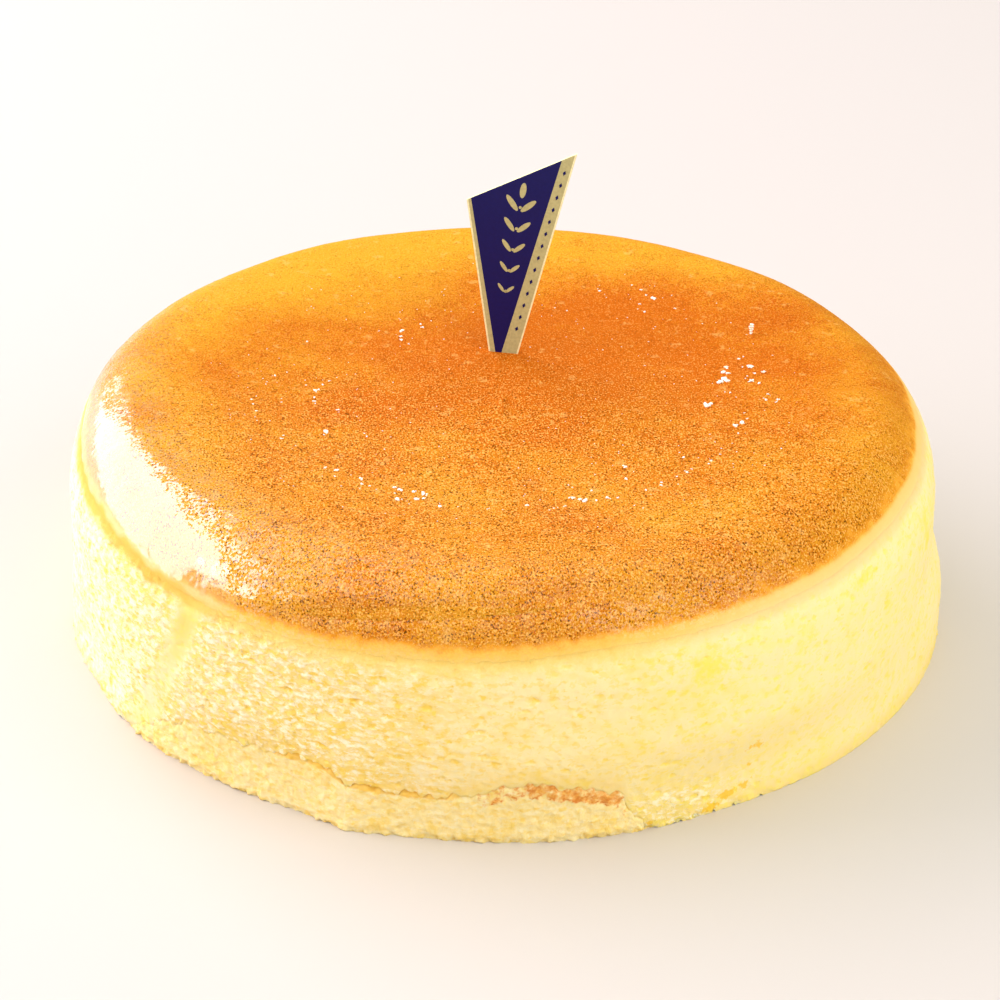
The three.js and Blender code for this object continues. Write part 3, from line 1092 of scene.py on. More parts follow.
def new_group(name, inputs, outputs):
    """A shader node group with named sockets; returns (group, input sockets, output node)."""
    group = bpy.data.node_groups.new(name, "ShaderNodeTree")
    for title, kind, value in inputs:
        socket = group.interface.new_socket(title, in_out="INPUT", socket_type="NodeSocket" + kind)
        if value is not None:
            socket.default_value = value
    for title, kind in outputs:
        group.interface.new_socket(title, in_out="OUTPUT", socket_type="NodeSocket" + kind)
    return group, group.nodes.new("NodeGroupInput").outputs, group.nodes.new("NodeGroupOutput")


def add_group(tree, group, values):
    """Places a node group in a material; returns its outputs."""
    node = tree.nodes.new("ShaderNodeGroup")
    node.node_tree = group
    feed_all(tree, node, values)
    return node.outputs


def make_crumb_group():
    """Inputs: position, how open, pale and deep colour. Outputs: colour and height for a Bump node."""
    group, given, leave = new_group(
        "crumb_colour",
        [("Position", "Vector", None), ("Open", "Float", 1.0), ("Pale", "Color", CRUMB_PALE),
         ("Deep", "Color", CRUMB_DEEP)],
        [("Color", "Color"), ("Height", "Float")])
    place = add_round_the_side(group, given["Position"])
    torn = add_torn_place(group, place)
    pores, clefts = add_openings(group, torn)
    spots = add_map(group, add_noise(group, add_flattened(group, torn, 1.5), 1.5), 0.52, 0.64)
    fine = add_noise(group, place, 0.55)
    cloud = add_noise(group, place, 7.0, detail=1.0, roughness=0.5)
    mottle = add_noise(group, add_flattened(group, place, 1.4), 2.4, detail=1.0, roughness=0.5)
    flakes = add_flakes(group, place)
    torn_away = add_map(group, given["Open"], 0.4, 0.9)
    # Painted shade deepens the hollows between the flakes; a painted highlight lightens their ridges.
    hollow = add_product(group, add_map(group, flakes, 0.47, 0.57), torn_away)
    ridge = add_product(group, add_map(group, flakes, 0.46, 0.37), torn_away)
    deep = add_sum(group, add_product(group, pores, PORE_SHADE), add_product(group, hollow, HOLLOW_SHADE),
                   add_product(group, spots, DEEP_SPOTS), add_product(group, clefts, CLEFT_SHADE),
                   add_map(group, cloud, 0.4, 0.75, 0.0, DEEP_CLOUDS),
                   add_map(group, mottle, 0.45, 0.68, 0.0, DEEP_MOTTLE))
    open_share = add_map(group, given["Open"], 0.0, 0.3, 0.3, 1.0, smooth=False)
    deep = add_sum(group, add_product(group, deep, open_share), add_swing(group, fine, 0.3))
    share = add_map(group, deep, 0.0, 1.0, smooth=False)
    colour = add_colour_mix(group, share, given["Pale"], given["Deep"])
    colour = add_colour_mix(group, add_product(group, ridge, RIDGE_HIGHLIGHT_SHARE), colour, CRUMB_RIDGE_HIGHLIGHT)
    dark = add_product(group, add_map(group, fine, 0.34, 0.28, 0.0, SPECK_SHARE), torn_away)
    height = add_difference(group, add_product(group, fine, 0.5), add_product(group, pores, 0.6),
                            add_product(group, hollow, 0.6))
    feed_all(group, leave, {"Color": add_colour_mix(group, dark, colour, CRUMB_SPECK), "Height": height})
    return group


def add_bump(tree, height, strength, distance):
    """A bump of a real depth in millimetres; strength may be a socket."""
    node = tree.nodes.new("ShaderNodeBump")
    feed_all(tree, node, {"Height": height, "Strength": strength, "Distance": distance * MM})
    return node.outputs["Normal"]


crumb_group = make_crumb_group()
print("group", crumb_group.name, "with", len(crumb_group.nodes), "nodes")

# %% [markdown]
# ## Browned colour as a node group
# Skin and crumb share the browning, so the border between the two meshes does not show. From the crumb up
# it goes through golden yellow to orange, and over the top it deepens towards the middle and the back.
# The sandy look comes from many tiny dark pits with lighter painted glint specks between them, under a
# thin melted film that lies in paler patches. The group also gives the grains that break up the glaze.

# %% Node group: browned colour
SAND_SIZE = 0.3
SAND_DRAWN_OUT = (1, 0.65, 1)
SHINE_GRAIN_SIZE = 0.5
PAINTED_GLINT_SHARE = 0.75
MELT_SHARE = 0.28


def add_edge_ramp(group, above):
    """The colours of the browned edge, by millimetres above it."""
    lowest, highest = EDGE_COLOURS[0][0], EDGE_COLOURS[-1][0]
    ramp = group.nodes.new("ShaderNodeValToRGB")
    stops = ramp.color_ramp.elements
    while len(stops) < len(EDGE_COLOURS):
        stops.new(0.5)
    for stop, (millimetres, _) in zip(stops, EDGE_COLOURS):
        stop.position = (millimetres - lowest) / (highest - lowest)
    for stop, (_, paint) in zip(stops, EDGE_COLOURS):
        stop.color = paint
    group.links.new(add_map(group, above, lowest, highest, smooth=False), ramp.inputs[0])
    return ramp.outputs["Color"]


def make_browned_group():
    """The browning; its Grains output says where the broken glaze shines."""
    group, given, leave = new_group(
        "browned_colour",
        [("Position", "Vector", None), ("Above Edge", "Float", 3.0), ("Bake", "Float", 0.5),
         ("Sand", "Float", 1.0), ("Crumb", "Color", CRUMB_PALE)],
        [("Color", "Color"), ("Height", "Float"), ("Grains", "Float")])
    place = add_millimetres(group, given["Position"])
    broad = add_noise(group, place, 14.0, detail=1.0, roughness=0.55)
    mottle = add_noise(group, place, 2.2)
    grain = add_noise(group, place, 0.3, detail=1.0)
    melt = add_noise(group, place, 2.6, roughness=0.65)
    shine = add_noise(group, place, SHINE_GRAIN_SIZE, detail=1.0)
    drawn_out = add_vector_math(group, "MULTIPLY", place, SAND_DRAWN_OUT)
    sand = add_noise(group, drawn_out, SAND_SIZE, detail=1.0)
    crowd = add_map(group, mottle, 0.3, 0.7, 0.35, 0.44, smooth=False)
    dots = add_map(group, sand, crowd, add_difference(group, crowd, 0.09))
    # Painted highlight: light specks between the pits.
    painted_glints = add_map(group, sand, 0.54, 0.64)
    melted = add_map(group, melt, 0.6, 0.72, 0.0, MELT_SHARE)

    uneven = add_sum(group, add_swing(group, mottle, 2.2), add_swing(group, sand, 1.2))
    above = add_sum(group, given["Above Edge"], uneven)
    baked = add_map(group, above, -0.3, 0.6)
    bake = add_sum(group, given["Bake"], add_swing(group, broad, 0.8), add_swing(group, mottle, 0.4),
                   add_swing(group, grain, 1.4))
    top = add_colour_mix(group, add_map(group, bake, 0.0, 1.0, smooth=False), SKIN_LIGHT, SKIN_BROWN)
    painted_glint_share = add_product(group, add_product(group, painted_glints, given["Sand"]), PAINTED_GLINT_SHARE)
    dot_share = add_product(group, add_product(group, dots, baked), given["Sand"])
    for share, paint in ((painted_glint_share, SKIN_PAINTED_GLINT), (melted, SKIN_MELT), (dot_share, SKIN_DOT)):
        top = add_colour_mix(group, share, top, paint)
    colour = add_colour_mix(group, add_map(group, above, -6.0, -2.2), given["Crumb"],
                            add_edge_ramp(group, above))
    feed_all(group, leave, {"Color": add_colour_mix(group, baked, colour, top),
                            "Height": add_difference(group, grain, add_product(group, dots, 0.8)),
                            "Grains": add_sum(group, shine, add_swing(group, melt, 0.45))})
    return group


browned_group = make_browned_group()
print("group", browned_group.name, "with", len(browned_group.nodes), "nodes")

# %% [markdown]
# ## Masks for the materials
# The cake is not the same all round: it baked deeper at one side, the glaze ran to the left shoulder, and
# the paper left soft, torn and yellow places. Two masks paint light and shade into the colour: a paler
# left side where the window's light falls, and deeper yellow shade just above the seam and the foot.
# Each of these is a rule that gives one number for each point, kept on the mesh as an attribute, so the
# materials can read it and it can be changed by itself.

# %% Masks for the materials
BAKE = 0.59
# Deeply baked places of the top: middle (x, y), half widths and amount.
DEEPLY_BAKED = [((14, 16), (40, 34), 0.62), ((-28, -8), (22, 22), 0.14)]


def bake_amount(angle, radius):
    """How brown the top is: deepest right of the middle, palest at the back left and at the far left."""
    a = np.radians(angle)
    x, y = radius * np.cos(a), radius * np.sin(a)
    deep = sum(amount * np.exp(-(((x - middle[0]) / half[0]) ** 2 + ((y - middle[1]) / half[1]) ** 2))
               for middle, half, amount in DEEPLY_BAKED)
    left = 0.35 * bell(angle, -180, 60) * smoothstep(radius, 42, 66)
    # Paler towards the back, the right edge and the back left.
    pale = 0.6 * smoothstep(y, 28, 62) + 0.15 * smoothstep(x, 40, 66)
    pale = pale + 0.4 * smoothstep(y, 10, 40) * (1 - smoothstep(x, -34, 0))
    golden = 0.4 * bell(angle, -133, 14) * smoothstep(radius, 66, 71)
    return BAKE + deep - left - pale - golden


def sand_amount(angle, radius):
    """How sandy the top is: most at the front, least at the back and the far sides."""
    a = np.radians(angle)
    forward = -radius * np.sin(a) - 0.5 * np.clip(np.abs(radius * np.cos(a)) - 25, 0, None)
    return 0.3 + 0.7 * smoothstep(forward, -30, 25)


def gloss_amount(angle, radius):
    """How thick the glaze lies: most on the left shoulder, thin at the front left, least in the middle."""
    a = np.radians(angle)
    hazy = 0.15 * smoothstep(-radius * (np.sin(a) + 0.5 * np.cos(a)), 5, 50)
    return np.clip(hazy + 1.1 * bell(angle, -154, 50) * smoothstep(radius, 54, 66), 0, 1)


# The glaze is whole outside this line, (angle, radius), and broken into single wet grains inside it.
WHOLE_GLAZE = [(-180, 71), (-172, 69.5), (-164, 66.8), (-150, 66.8), (-143, 68), (-133, 70.3), (-130, 71),
               (-127, 73.5), (-124, 78)]
WHOLE_GLAZE_BEHIND = 71


def broken_amount(angle, radius):
    """0 where the glaze is whole, 1 where only grains shine."""
    turn = (angle + 180) % 360 - 180
    edge = np.where(turn > 0, WHOLE_GLAZE_BEHIND, line_at(WHOLE_GLAZE, turn))
    return smoothstep(edge - radius, -1.6, 2.6)


def golden_amount(angle, height):
    """The narrow golden band just under the whole glaze."""
    a = np.radians(angle)
    above = height - edge_height(angle) + 0.35 * np.sin(38 * a) + 0.25 * np.sin(90 * a + 1)
    band = smoothstep(above, -4.2, -3.2) * (1 - smoothstep(above, -1.9, -0.9))
    return 0.85 * band * smoothstep(angle, -178, -168) * (1 - smoothstep(angle, -138, -118))


# Soft spots on the side, each (angle, height, half length, half height, strength).
TORN_SPOTS = [(-55.5, 11.6, 2.2, 1.1, 1.0), (-61.5, 1.2, 2.2, 1.3, 0.9), (-59.2, 2.6, 2.0, 1.3, 0.9),
              (-57, 3.4, 1.8, 1.1, 0.9), (-56.2, 7.6, 1.4, 0.6, 0.8), (-71, 0.8, 1.5, 1.1, 0.9)]
YELLOW_SPOTS = [(-64, 30, 5.0, 3.2, 0.7), (-49, 30, 2.5, 1.5, 0.5), (-38, 34, 4.5, 1.6, 0.7),
                (-18, 32, 2.0, 3.5, 0.7), (-17, 28, 2.4, 2.0, 0.9)]


def cake_masks(piece):
    """Keeps every mask that the cake's materials read."""
    angle, radius, height = polar_of(piece)
    above = height - edge_height(angle)
    crisp = smoothstep(angle, -78, -52) * (1 - smoothstep(angle, 120, 160))
    under_edge = smoothstep(above, -4.4, -3.0) * (1 - smoothstep(above, -0.8, 0))
    golden = golden_amount(angle, height)
    fold = crease_mask(angle, height) * (0.25 + 0.65 * smoothstep(height, 12, 30))
    # Painted shade: deeper yellow just above the seam and the foot, where the crumb stands in shade.
    low = 0.4 * (1 - smoothstep(height - line_at(SEAM_LINE, angle), 0.5, 4))
    store_masks(piece, {
        "open_crumb": crumb_amount(angle, height),
        # Painted light: the crumb is paler on the left side, where the window's light falls.
        "painted_glare_left": bell(angle, -165, 45),
        "above_edge": above * (1 + crisp * np.where(above < 0, 0.8, -0.6)),
        "under_edge": 0.65 * crisp * under_edge,
        "lemon": smoothstep(angle, -95, -55),
        "torn": marks_at(TORN_SPOTS, angle, height),
        "golden": golden,
        "broken": broken_amount(angle, radius),
        "bake": bake_amount(angle, radius),
        "sand": sand_amount(angle, radius),
        # The paper fold's colour, and painted shade just above the seam and the foot.
        "fold": np.maximum(fold, low),
        "yellow": marks_at(YELLOW_SPOTS, angle, height),
        "gloss": gloss_amount(angle, radius) * (1 - golden),
    })
    print("masks on", piece.name)


cake_masks(crumb)
cake_masks(skin)

# %% [markdown]
# ## Crumb and skin materials
# Crumb is moist and lets light in, so it gets subsurface scattering with a warm, short reach. The skin
# has the crumb's colours under its own browning, and a glaze on top, as a clear coat that is thick on the
# left shoulder and nearly absent in the middle. A coat ignores the bump, so where the glaze is broken its
# weight is cut into grains instead.

# %% Crumb and skin materials
SCATTER_REACH = (1.0, 0.5, 0.18)
RAGGED_SWING = 2.4
MARK_SHARE = 0.85
GLAZE_GRAIN_WHOLE = 0.1
GLAZE_GRAIN_BROKEN = 0.47


def set_scatter(shader, weight, reach):
    """Subsurface scattering with a warm tint; the reach is in metres."""
    shader.subsurface_method = "BURLEY"
    shader.inputs["Subsurface Weight"].default_value = weight
    shader.inputs["Subsurface Radius"].default_value = SCATTER_REACH
    shader.inputs["Subsurface Scale"].default_value = reach


def cake_colours(tree):
    """Crumb colour under browned colour; returns (colour, crumb height, outputs of the browned group)."""
    position = add_object_position(tree)
    # Painted light: paler crumb on the left side, where the window's light falls.
    painted_glare_left = add_attribute(tree, "painted_glare_left")
    pale = add_colour_mix(tree, painted_glare_left, CRUMB_PALE, CRUMB_PAINTED_GLARE)
    # Deeper yellow along the paper fold, and painted shade just above the seam and the foot.
    pale = add_colour_mix(tree, add_product(tree, add_attribute(tree, "fold"), 0.9), pale, CRUMB_FOLD_AND_SEAM_SHADE)
    deep = add_colour_mix(tree, add_attribute(tree, "lemon"), CRUMB_DEEP, CRUMB_DEEP_RIGHT)
    deep = add_colour_mix(tree, painted_glare_left, deep, CRUMB_DEEP_PAINTED_GLARE)
    crumb_look = add_group(tree, crumb_group, {
        "Position": position, "Open": add_attribute(tree, "open_crumb"), "Pale": pale, "Deep": deep})
    ragged = add_noise(tree, add_millimetres(tree, position), 1.2, roughness=0.65)
    ragged = add_swing(tree, ragged, RAGGED_SWING)
    torn = add_map(tree, add_sum(tree, add_attribute(tree, "torn"), ragged), 0.45, 0.75, 0.0, MARK_SHARE)
    yellow = add_sum(tree, add_attribute(tree, "yellow"), add_product(tree, ragged, 0.6))
    yellow = add_map(tree, yellow, 0.2, 0.8, 0.0, MARK_SHARE)
    colour = add_colour_mix(tree, torn, crumb_look["Color"], CRUMB_TORN)
    colour = add_colour_mix(tree, yellow, colour, CRUMB_LEMON)
    browned = add_group(tree, browned_group, {
        "Position": position, "Above Edge": add_attribute(tree, "above_edge"),
        "Bake": add_attribute(tree, "bake"), "Sand": add_attribute(tree, "sand"), "Crumb": colour})
    colour = add_colour_mix(tree, add_attribute(tree, "golden"), browned["Color"], SKIN_GOLDEN)
    colour = add_colour_mix(tree, add_attribute(tree, "under_edge"), colour, CRUMB_UNDER_EDGE)
    return colour, crumb_look["Height"], browned


def crumb_material():
    """Moist open crumb."""
    material, tree, shader = new_material("souffle_crumb")
    colour, crumb_height, _ = cake_colours(tree)
    strength = add_map(tree, add_attribute(tree, "open_crumb"), 0.0, 1.0, 0.15, 1.0, smooth=False)
    feed_all(tree, shader, {"Base Color": colour, "Normal": add_bump(tree, crumb_height, strength, 0.2),
                            "Roughness": 0.75, "Specular IOR Level": 0.15})
    set_scatter(shader, 0.5, 0.003)
    return material


def skin_material():
    """Browned skin under a thin glaze."""
    material, tree, shader = new_material("glazed_skin")
    colour, _, browned = cake_colours(tree)
    gloss = add_attribute(tree, "gloss")
    least = add_map(tree, add_attribute(tree, "broken"), 0.0, 1.0, GLAZE_GRAIN_WHOLE, GLAZE_GRAIN_BROKEN,
                    smooth=False)
    wet = add_map(tree, browned["Grains"], least, add_sum(tree, least, 0.07))
    strength = add_map(tree, add_attribute(tree, "above_edge"), -0.5, 2.0, 0.1, 1.0)
    normal = add_bump(tree, browned["Height"], strength, 0.1)
    feed_all(tree, shader, {"Base Color": colour, "Normal": normal,
                            "Roughness": add_map(tree, gloss, 0.1, 0.6, 0.8, 0.22),
                            "Specular IOR Level": 0.08, "Coat Weight": add_product(tree, gloss, wet),
                            "Coat IOR": 2.2, "Coat Roughness": 0.14})
    return material


crumb.data.materials.append(crumb_material())
skin.data.materials.append(skin_material())
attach(crumb, "root")
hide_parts("cake")
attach(skin, "root")
print("materials:", crumb.data.materials[0].name, skin.data.materials[0].name)

# %% [markdown]
# ## Sponge material
# Sponge is drier and a little darker than the cheesecake. Along its top, at the front, a stretch of its
# own browned crust shows as an orange streak.

# %% Sponge material
STREAK_FROM = -93
STREAK_TO = -73
PATCH_MIDDLE = 0.6
SPONGE_OPEN = 0.6


def streak_amount(angle, height):
    """Where the sponge's browned crust shows."""
    below_seam = line_at(SEAM_LINE, angle) - height
    starts = smoothstep(angle, STREAK_FROM - 1, STREAK_FROM + 2)
    ends = 1 - smoothstep(angle, STREAK_TO - 2, STREAK_TO + 1)
    solid = 0.78 + 0.22 * smoothstep(angle, -88, -85)
    return starts * ends * solid * (1 - smoothstep(below_seam, 2.6, 4.6))


def seam_shade_amount(angle, height):
    """Painted shade: deep colour just under the ledge, and here and there along the rest of the seam."""
    below_seam = line_at(SEAM_LINE, angle) - height
    return (0.45 + 0.55 * ledge(angle)) * (1 - smoothstep(below_seam, 0.6, 1.8))


def sponge_material():
    """Dry fine crumb with a browned streak."""
    material, tree, shader = new_material("sponge_crumb")
    position = add_object_position(tree)
    place = add_millimetres(tree, position)
    crumb_look = add_group(tree, crumb_group, {
        "Position": position, "Open": add_attribute(tree, "open_crumb"), "Pale": SPONGE_PALE,
        "Deep": SPONGE_DEEP})
    patch = add_noise(tree, place, 1.1, detail=3.0, roughness=0.65)
    streak = add_sum(tree, add_attribute(tree, "streak"), add_swing(tree, patch, 2.2, PATCH_MIDDLE))
    streak = add_product(tree, add_map(tree, streak, 0.3, 0.9), 0.85)
    # Painted shade under the ledge and along the seam.
    shaded = add_sum(tree, add_attribute(tree, "hollow"), add_difference(tree, patch, PATCH_MIDDLE))
    shaded = add_map(tree, shaded, 0.3, 0.8, 0.0, 0.8)
    burnt = add_product(tree, add_map(tree, patch, 0.5, 0.7), streak)
    colour = crumb_look["Color"]
    for share, paint in ((shaded, SPONGE_SEAM_SHADE), (streak, SPONGE_BROWN), (burnt, SPONGE_BURNT)):
        colour = add_colour_mix(tree, share, colour, paint)
    grain = add_noise(tree, place, 0.5, detail=3.0, roughness=0.65)
    feed_all(tree, shader, {"Base Color": colour, "Normal": add_bump(tree, grain, 0.7, 0.3),
                            "Roughness": 0.85, "Specular IOR Level": 0.2})
    set_scatter(shader, 0.35, 0.002)
    return material


sponge_angle, _, sponge_height = polar_of(sponge)
store_masks(sponge, {
    "open_crumb": np.full_like(sponge_angle, SPONGE_OPEN),
    # Painted shade under the ledge and along the seam.
    "hollow": seam_shade_amount(sponge_angle, sponge_height),
    "streak": streak_amount(sponge_angle, sponge_height),
})
sponge.data.materials.append(sponge_material())
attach(sponge, "root")
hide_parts("sponge_base")
print("sponge material:", sponge.data.materials[0].name)

# %% [markdown]
# ## Sugar flecks
# Icing sugar was dabbed round the top with a spoon's edge and partly melted, which leaves a broken ring of
# white flecks, a dense patch at the right and single specks. Each trail below is drawn as a few points;
# a seeded rule sets clumps of turned and stretched grains along it, all joined in one mesh.

# %% Sugar flecks: trails
SUGAR_SEED = 7
# Each trail: its points (x, y) in millimetres, how many clumps, their largest size and their scatter.
SUGAR_TRAILS = [
    # The dense patch at the right.
    ([(40, 14.5), (43, 9), (46.5, 9.5)], 7, 1.0, 0.9),
    ([(38, 12), (38, 3), (38.5, 0.5)], 7, 1.35, 0.6),
    ([(41, 7), (42, 4), (43, 2)], 6, 0.9, 0.7),
    ([(44.5, 0), (44, -3), (47, -3), (45, -5)], 5, 0.8, 0.5),
    ([(35.5, -4), (33.5, -4.5)], 3, 1.35, 0.3),
    ([(40, -7.5), (42, -8), (38, -14.5), (40, -16)], 5, 1.1, 0.4),
    # The row that curves away to the front.
    ([(36.5, -19.5), (34, -26.5), (29, -30), (22.5, -36.5)], 10, 0.75, 0.35),
    ([(29, -21.5), (30, -24)], 2, 0.6, 0.2),
    ([(43, -25), (47, -20.5)], 2, 0.4, 0.2),
    ([(20, -26), (20, -33)], 2, 0.7, 0.2),
    ([(19.5, -38.5), (13, -39.7), (10.2, -38.5)], 6, 1.1, 0.3),
    ([(14.5, -36), (14.3, -35.8)], 1, 0.7, 0.1),
    ([(10.5, -41.3), (7, -44)], 6, 0.5, 0.2),
    ([(3, -40.7), (4.5, -43)], 2, 0.9, 0.2),
    ([(1.2, -44), (-1, -44.8), (-3, -43.4), (-8, -42.6)], 7, 0.65, 0.3),
    # The dense patch at the front left.
    ([(-10, -41.5), (-10.4, -43.8)], 2, 0.8, 0.2),
    ([(-12, -40.3), (-13.5, -38.5), (-14, -37)], 5, 1.3, 0.5),
    ([(-15.4, -37.2), (-18, -36.2), (-17.2, -40.6), (-13.2, -41)], 6, 1.0, 0.5),
    ([(-20.6, -38), (-22.3, -36), (-22.3, -34.3), (-24, -33)], 5, 0.7, 0.3),
    ([(-27.3, -33), (-27.1, -29.2), (-29, -29.3)], 3, 0.8, 0.3),
    # The left side.
    ([(-30, -19), (-29.3, -15.5)], 2, 1.1, 0.2),
    ([(-27.3, -10.2), (-28.3, -7.3)], 2, 0.7, 0.2),
    ([(-32.5, -7), (-32, -1), (-30, 3)], 7, 0.75, 0.5),
    ([(-34, -24.5), (-37, -17.5)], 4, 0.55, 0.4),
    ([(-41.5, -15.5), (-41, -12), (-42, -6.8), (-43.3, -3)], 6, 0.65, 0.5),
    ([(-42, 1.6), (-39.6, 3.3), (-37.9, 5.3)], 4, 0.55, 0.2),
    ([(-41, 8.4), (-34.5, 17), (-29.3, 25)], 3, 0.5, 0.2),
    ([(-18, 16), (-19.5, 22), (-14.5, 25.5), (-12.5, 28.3)], 8, 0.75, 0.5),
    ([(-15.5, -17), (-24.4, -18.3)], 2, 0.6, 0.2),
    # The back.
    ([(17, 42.3), (16.8, 38.6), (19, 36.2)], 5, 0.6, 0.3),
    ([(21, 40.5), (24, 40.3), (26.3, 36.4), (24, 34.6), (24.5, 31)], 6, 0.9, 0.4),
    ([(30, 32.4), (30.2, 32.2)], 1, 0.8, 0.1),
]
# One flake stands on its edge: place, width and height.
UPRIGHT_FLAKE = (43.3, 22, 0.9, 2.3)
SPECK_COUNT = 320
SPECK_SIZE = 0.26
SPECK_REACH = 52
GRAIN_FLATNESS = 0.5
GRAIN_LEAN = 0.5


def grain_shape():
    """One grain: a plain icosphere of radius 1, as corner points and triangles."""
    bpy.ops.object.select_all(action="DESELECT")
    bpy.ops.mesh.primitive_ico_sphere_add(subdivisions=1, radius=1)
    grain = bpy.context.object
    points = np.array([vertex.co for vertex in grain.data.vertices])
    faces = np.array([face.vertices for face in grain.data.polygons])
    bpy.data.objects.remove(grain)
    return points, faces


def scatter_grains(name, places, sizes, random):
    """A joined mesh of grains, each with its own stretch and turn, half sunk where it lies."""
    shape, faces = grain_shape()
    all_points, all_faces = [], []
    for index, ((x, y, z), size) in enumerate(zip(places, sizes)):
        rough = shape * random.uniform(0.7, 1.3, (len(shape), 1))
        stretch = np.array([random.uniform(0.7, 1.4), random.uniform(0.6, 1.0), GRAIN_FLATNESS])
        turn = Matrix.Rotation(random.uniform(0, math.tau), 3, "Z")
        tilt = Matrix.Rotation(random.uniform(-GRAIN_LEAN, GRAIN_LEAN), 3, "X")
        turned = (rough * stretch * size / 2) @ np.array(turn @ tilt).T
        all_points.append(turned + (x, y, z))
        all_faces.append(faces + index * len(shape))
    mesh = bpy.data.meshes.new(name)
    mesh.from_pydata(np.concatenate(all_points) * MM, [], np.concatenate(all_faces).tolist())
    return new_object(name, mesh)


def add_clump(places, sizes, x, y, size, random):
    """One clump: a main grain with a few smaller ones melted to it."""
    number = 1 + int(size * random.uniform(1, 5))
    turn = random.uniform(0, math.tau, number)
    away = size * 0.5 * np.sqrt(random.uniform(0, 1, number))
    away[0] = 0
    places += list(zip(x + away * np.cos(turn), y + away * np.sin(turn)))
    sizes += list(size * np.append(0.85, random.uniform(0.3, 0.7, number - 1)))


def sugar_places(random):
    """Where the grains lie on the top, and how large each is."""
    places, sizes = [], []
    for trail, number, size, scatter in SUGAR_TRAILS:
        xs, ys = zip(*trail)
        walked = np.append(0, np.cumsum(np.hypot(np.diff(xs), np.diff(ys))))
        at = (np.arange(number) + random.uniform(0.2, 0.8, number)) / number * walked[-1]
        x = np.interp(at, walked, xs) + random.normal(0, scatter, number)
        y = np.interp(at, walked, ys) + random.normal(0, scatter, number)
        clump_sizes = size * (0.4 + 0.6 * random.uniform(0, 1, number) ** 1.5)
        clump_sizes[number // 2] = size
        for place_x, place_y, clump_size in zip(x, y, clump_sizes):
            add_clump(places, sizes, place_x, place_y, clump_size, random)
    spread = SPECK_REACH * np.sqrt(random.uniform(0.05, 1, SPECK_COUNT))
    turn = random.uniform(0, math.tau, SPECK_COUNT)
    places += list(zip(spread * np.cos(turn), spread * np.sin(turn)))
    sizes += list(SPECK_SIZE * random.uniform(0.5, 1.2, SPECK_COUNT))
    places = np.array(places)
    height = top_height(places[:, 0], places[:, 1]) + SKIN_PROUD + 0.12 * np.array(sizes)
    flake_x, flake_y, flake_width, flake_height = UPRIGHT_FLAKE
    steps = np.arange(0, flake_height, flake_width * 0.45)
    base = float(top_height(np.array(flake_x), np.array(flake_y)))
    flake = np.column_stack((np.full_like(steps, flake_x) + 0.05 * steps, np.full_like(steps, flake_y),
                             base + steps))
    return np.vstack((np.column_stack((places, height)), flake)), sizes + [flake_width] * len(steps)


sugar_random = np.random.default_rng(SUGAR_SEED)
sugar_at, sugar_sizes = sugar_places(sugar_random)
sugar = scatter_grains("sugar_flecks", sugar_at, sugar_sizes, sugar_random)
print("sugar grains:", len(sugar_sizes), "triangles:", count(sugar))

# %% Sugar flecks: material
def sugar_material():
    """White, slightly see-through grains, paler yellow where they melted."""
    material, tree, shader = new_material("sugar")
    place = add_millimetres(tree, add_object_position(tree))
    melt = add_map(tree, add_noise(tree, place, 0.8, detail=1.0, roughness=0.5), 0.45, 0.75, 0.0, 0.45)
    feed_all(tree, shader, {"Base Color": add_colour_mix(tree, melt, SUGAR_WHITE, SUGAR_MELTED),
                            "Roughness": 0.4, "Specular IOR Level": 0.5})
    set_scatter(shader, 0.3, 0.0006)
    return material


sugar.data.materials.append(sugar_material())
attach(sugar, "root")
print("sugar material:", sugar.data.materials[0].name)

# %% [markdown]
# ## Card pick
# A die-cut card, printed dark blue with gold borders, stands in a slit in the top. It starts as one flat
# face with its four corners moved to the outline. Bisecting it draws the borders as real edges, so the
# print's fields are exact, and Solidify gives it the card's thickness with a paler cut edge.

# %% Card pick: outline and fields
PICK_X = 0.1
PICK_Y = 15
PICK_TURN = -10
PICK_THICKNESS = 0.5
PICK_DEPTH = 9
PICK_LEFT_HEIGHT = 28.6
PICK_RIGHT_HEIGHT = 38.7
# How far the long edges and the navy field's sides are from the middle: at the cake's surface, at the top.
LEFT_EDGE = (-2.95, -7.2)
RIGHT_EDGE = (2.15, 11.7)
FIELD_LEFT = (-1.78, -6.4)
FIELD_RIGHT = (-0.76, 9.5)
BARE_MARGIN = 0.3
PRINT_THICKNESS = 0.03
# The card's materials, by their slots.
NAVY, GOLD, BARE = 0, 1, 2


def cut_line(first, second):
    """Bisects the selected upright face along a line through two points (across, up) in millimetres."""
    across, up = second[0] - first[0], second[1] - first[1]
    bpy.ops.mesh.select_all(action="SELECT")
    normal = Vector((up, 0, -across)).normalized()
    bpy.ops.mesh.bisect(plane_co=(first[0] * MM, 0, first[1] * MM), plane_no=normal)


def side_at(side, up, top):
    """How far a straight side is from the middle at a height above the cake's surface."""
    return side[0] + (side[1] - side[0]) * up / top


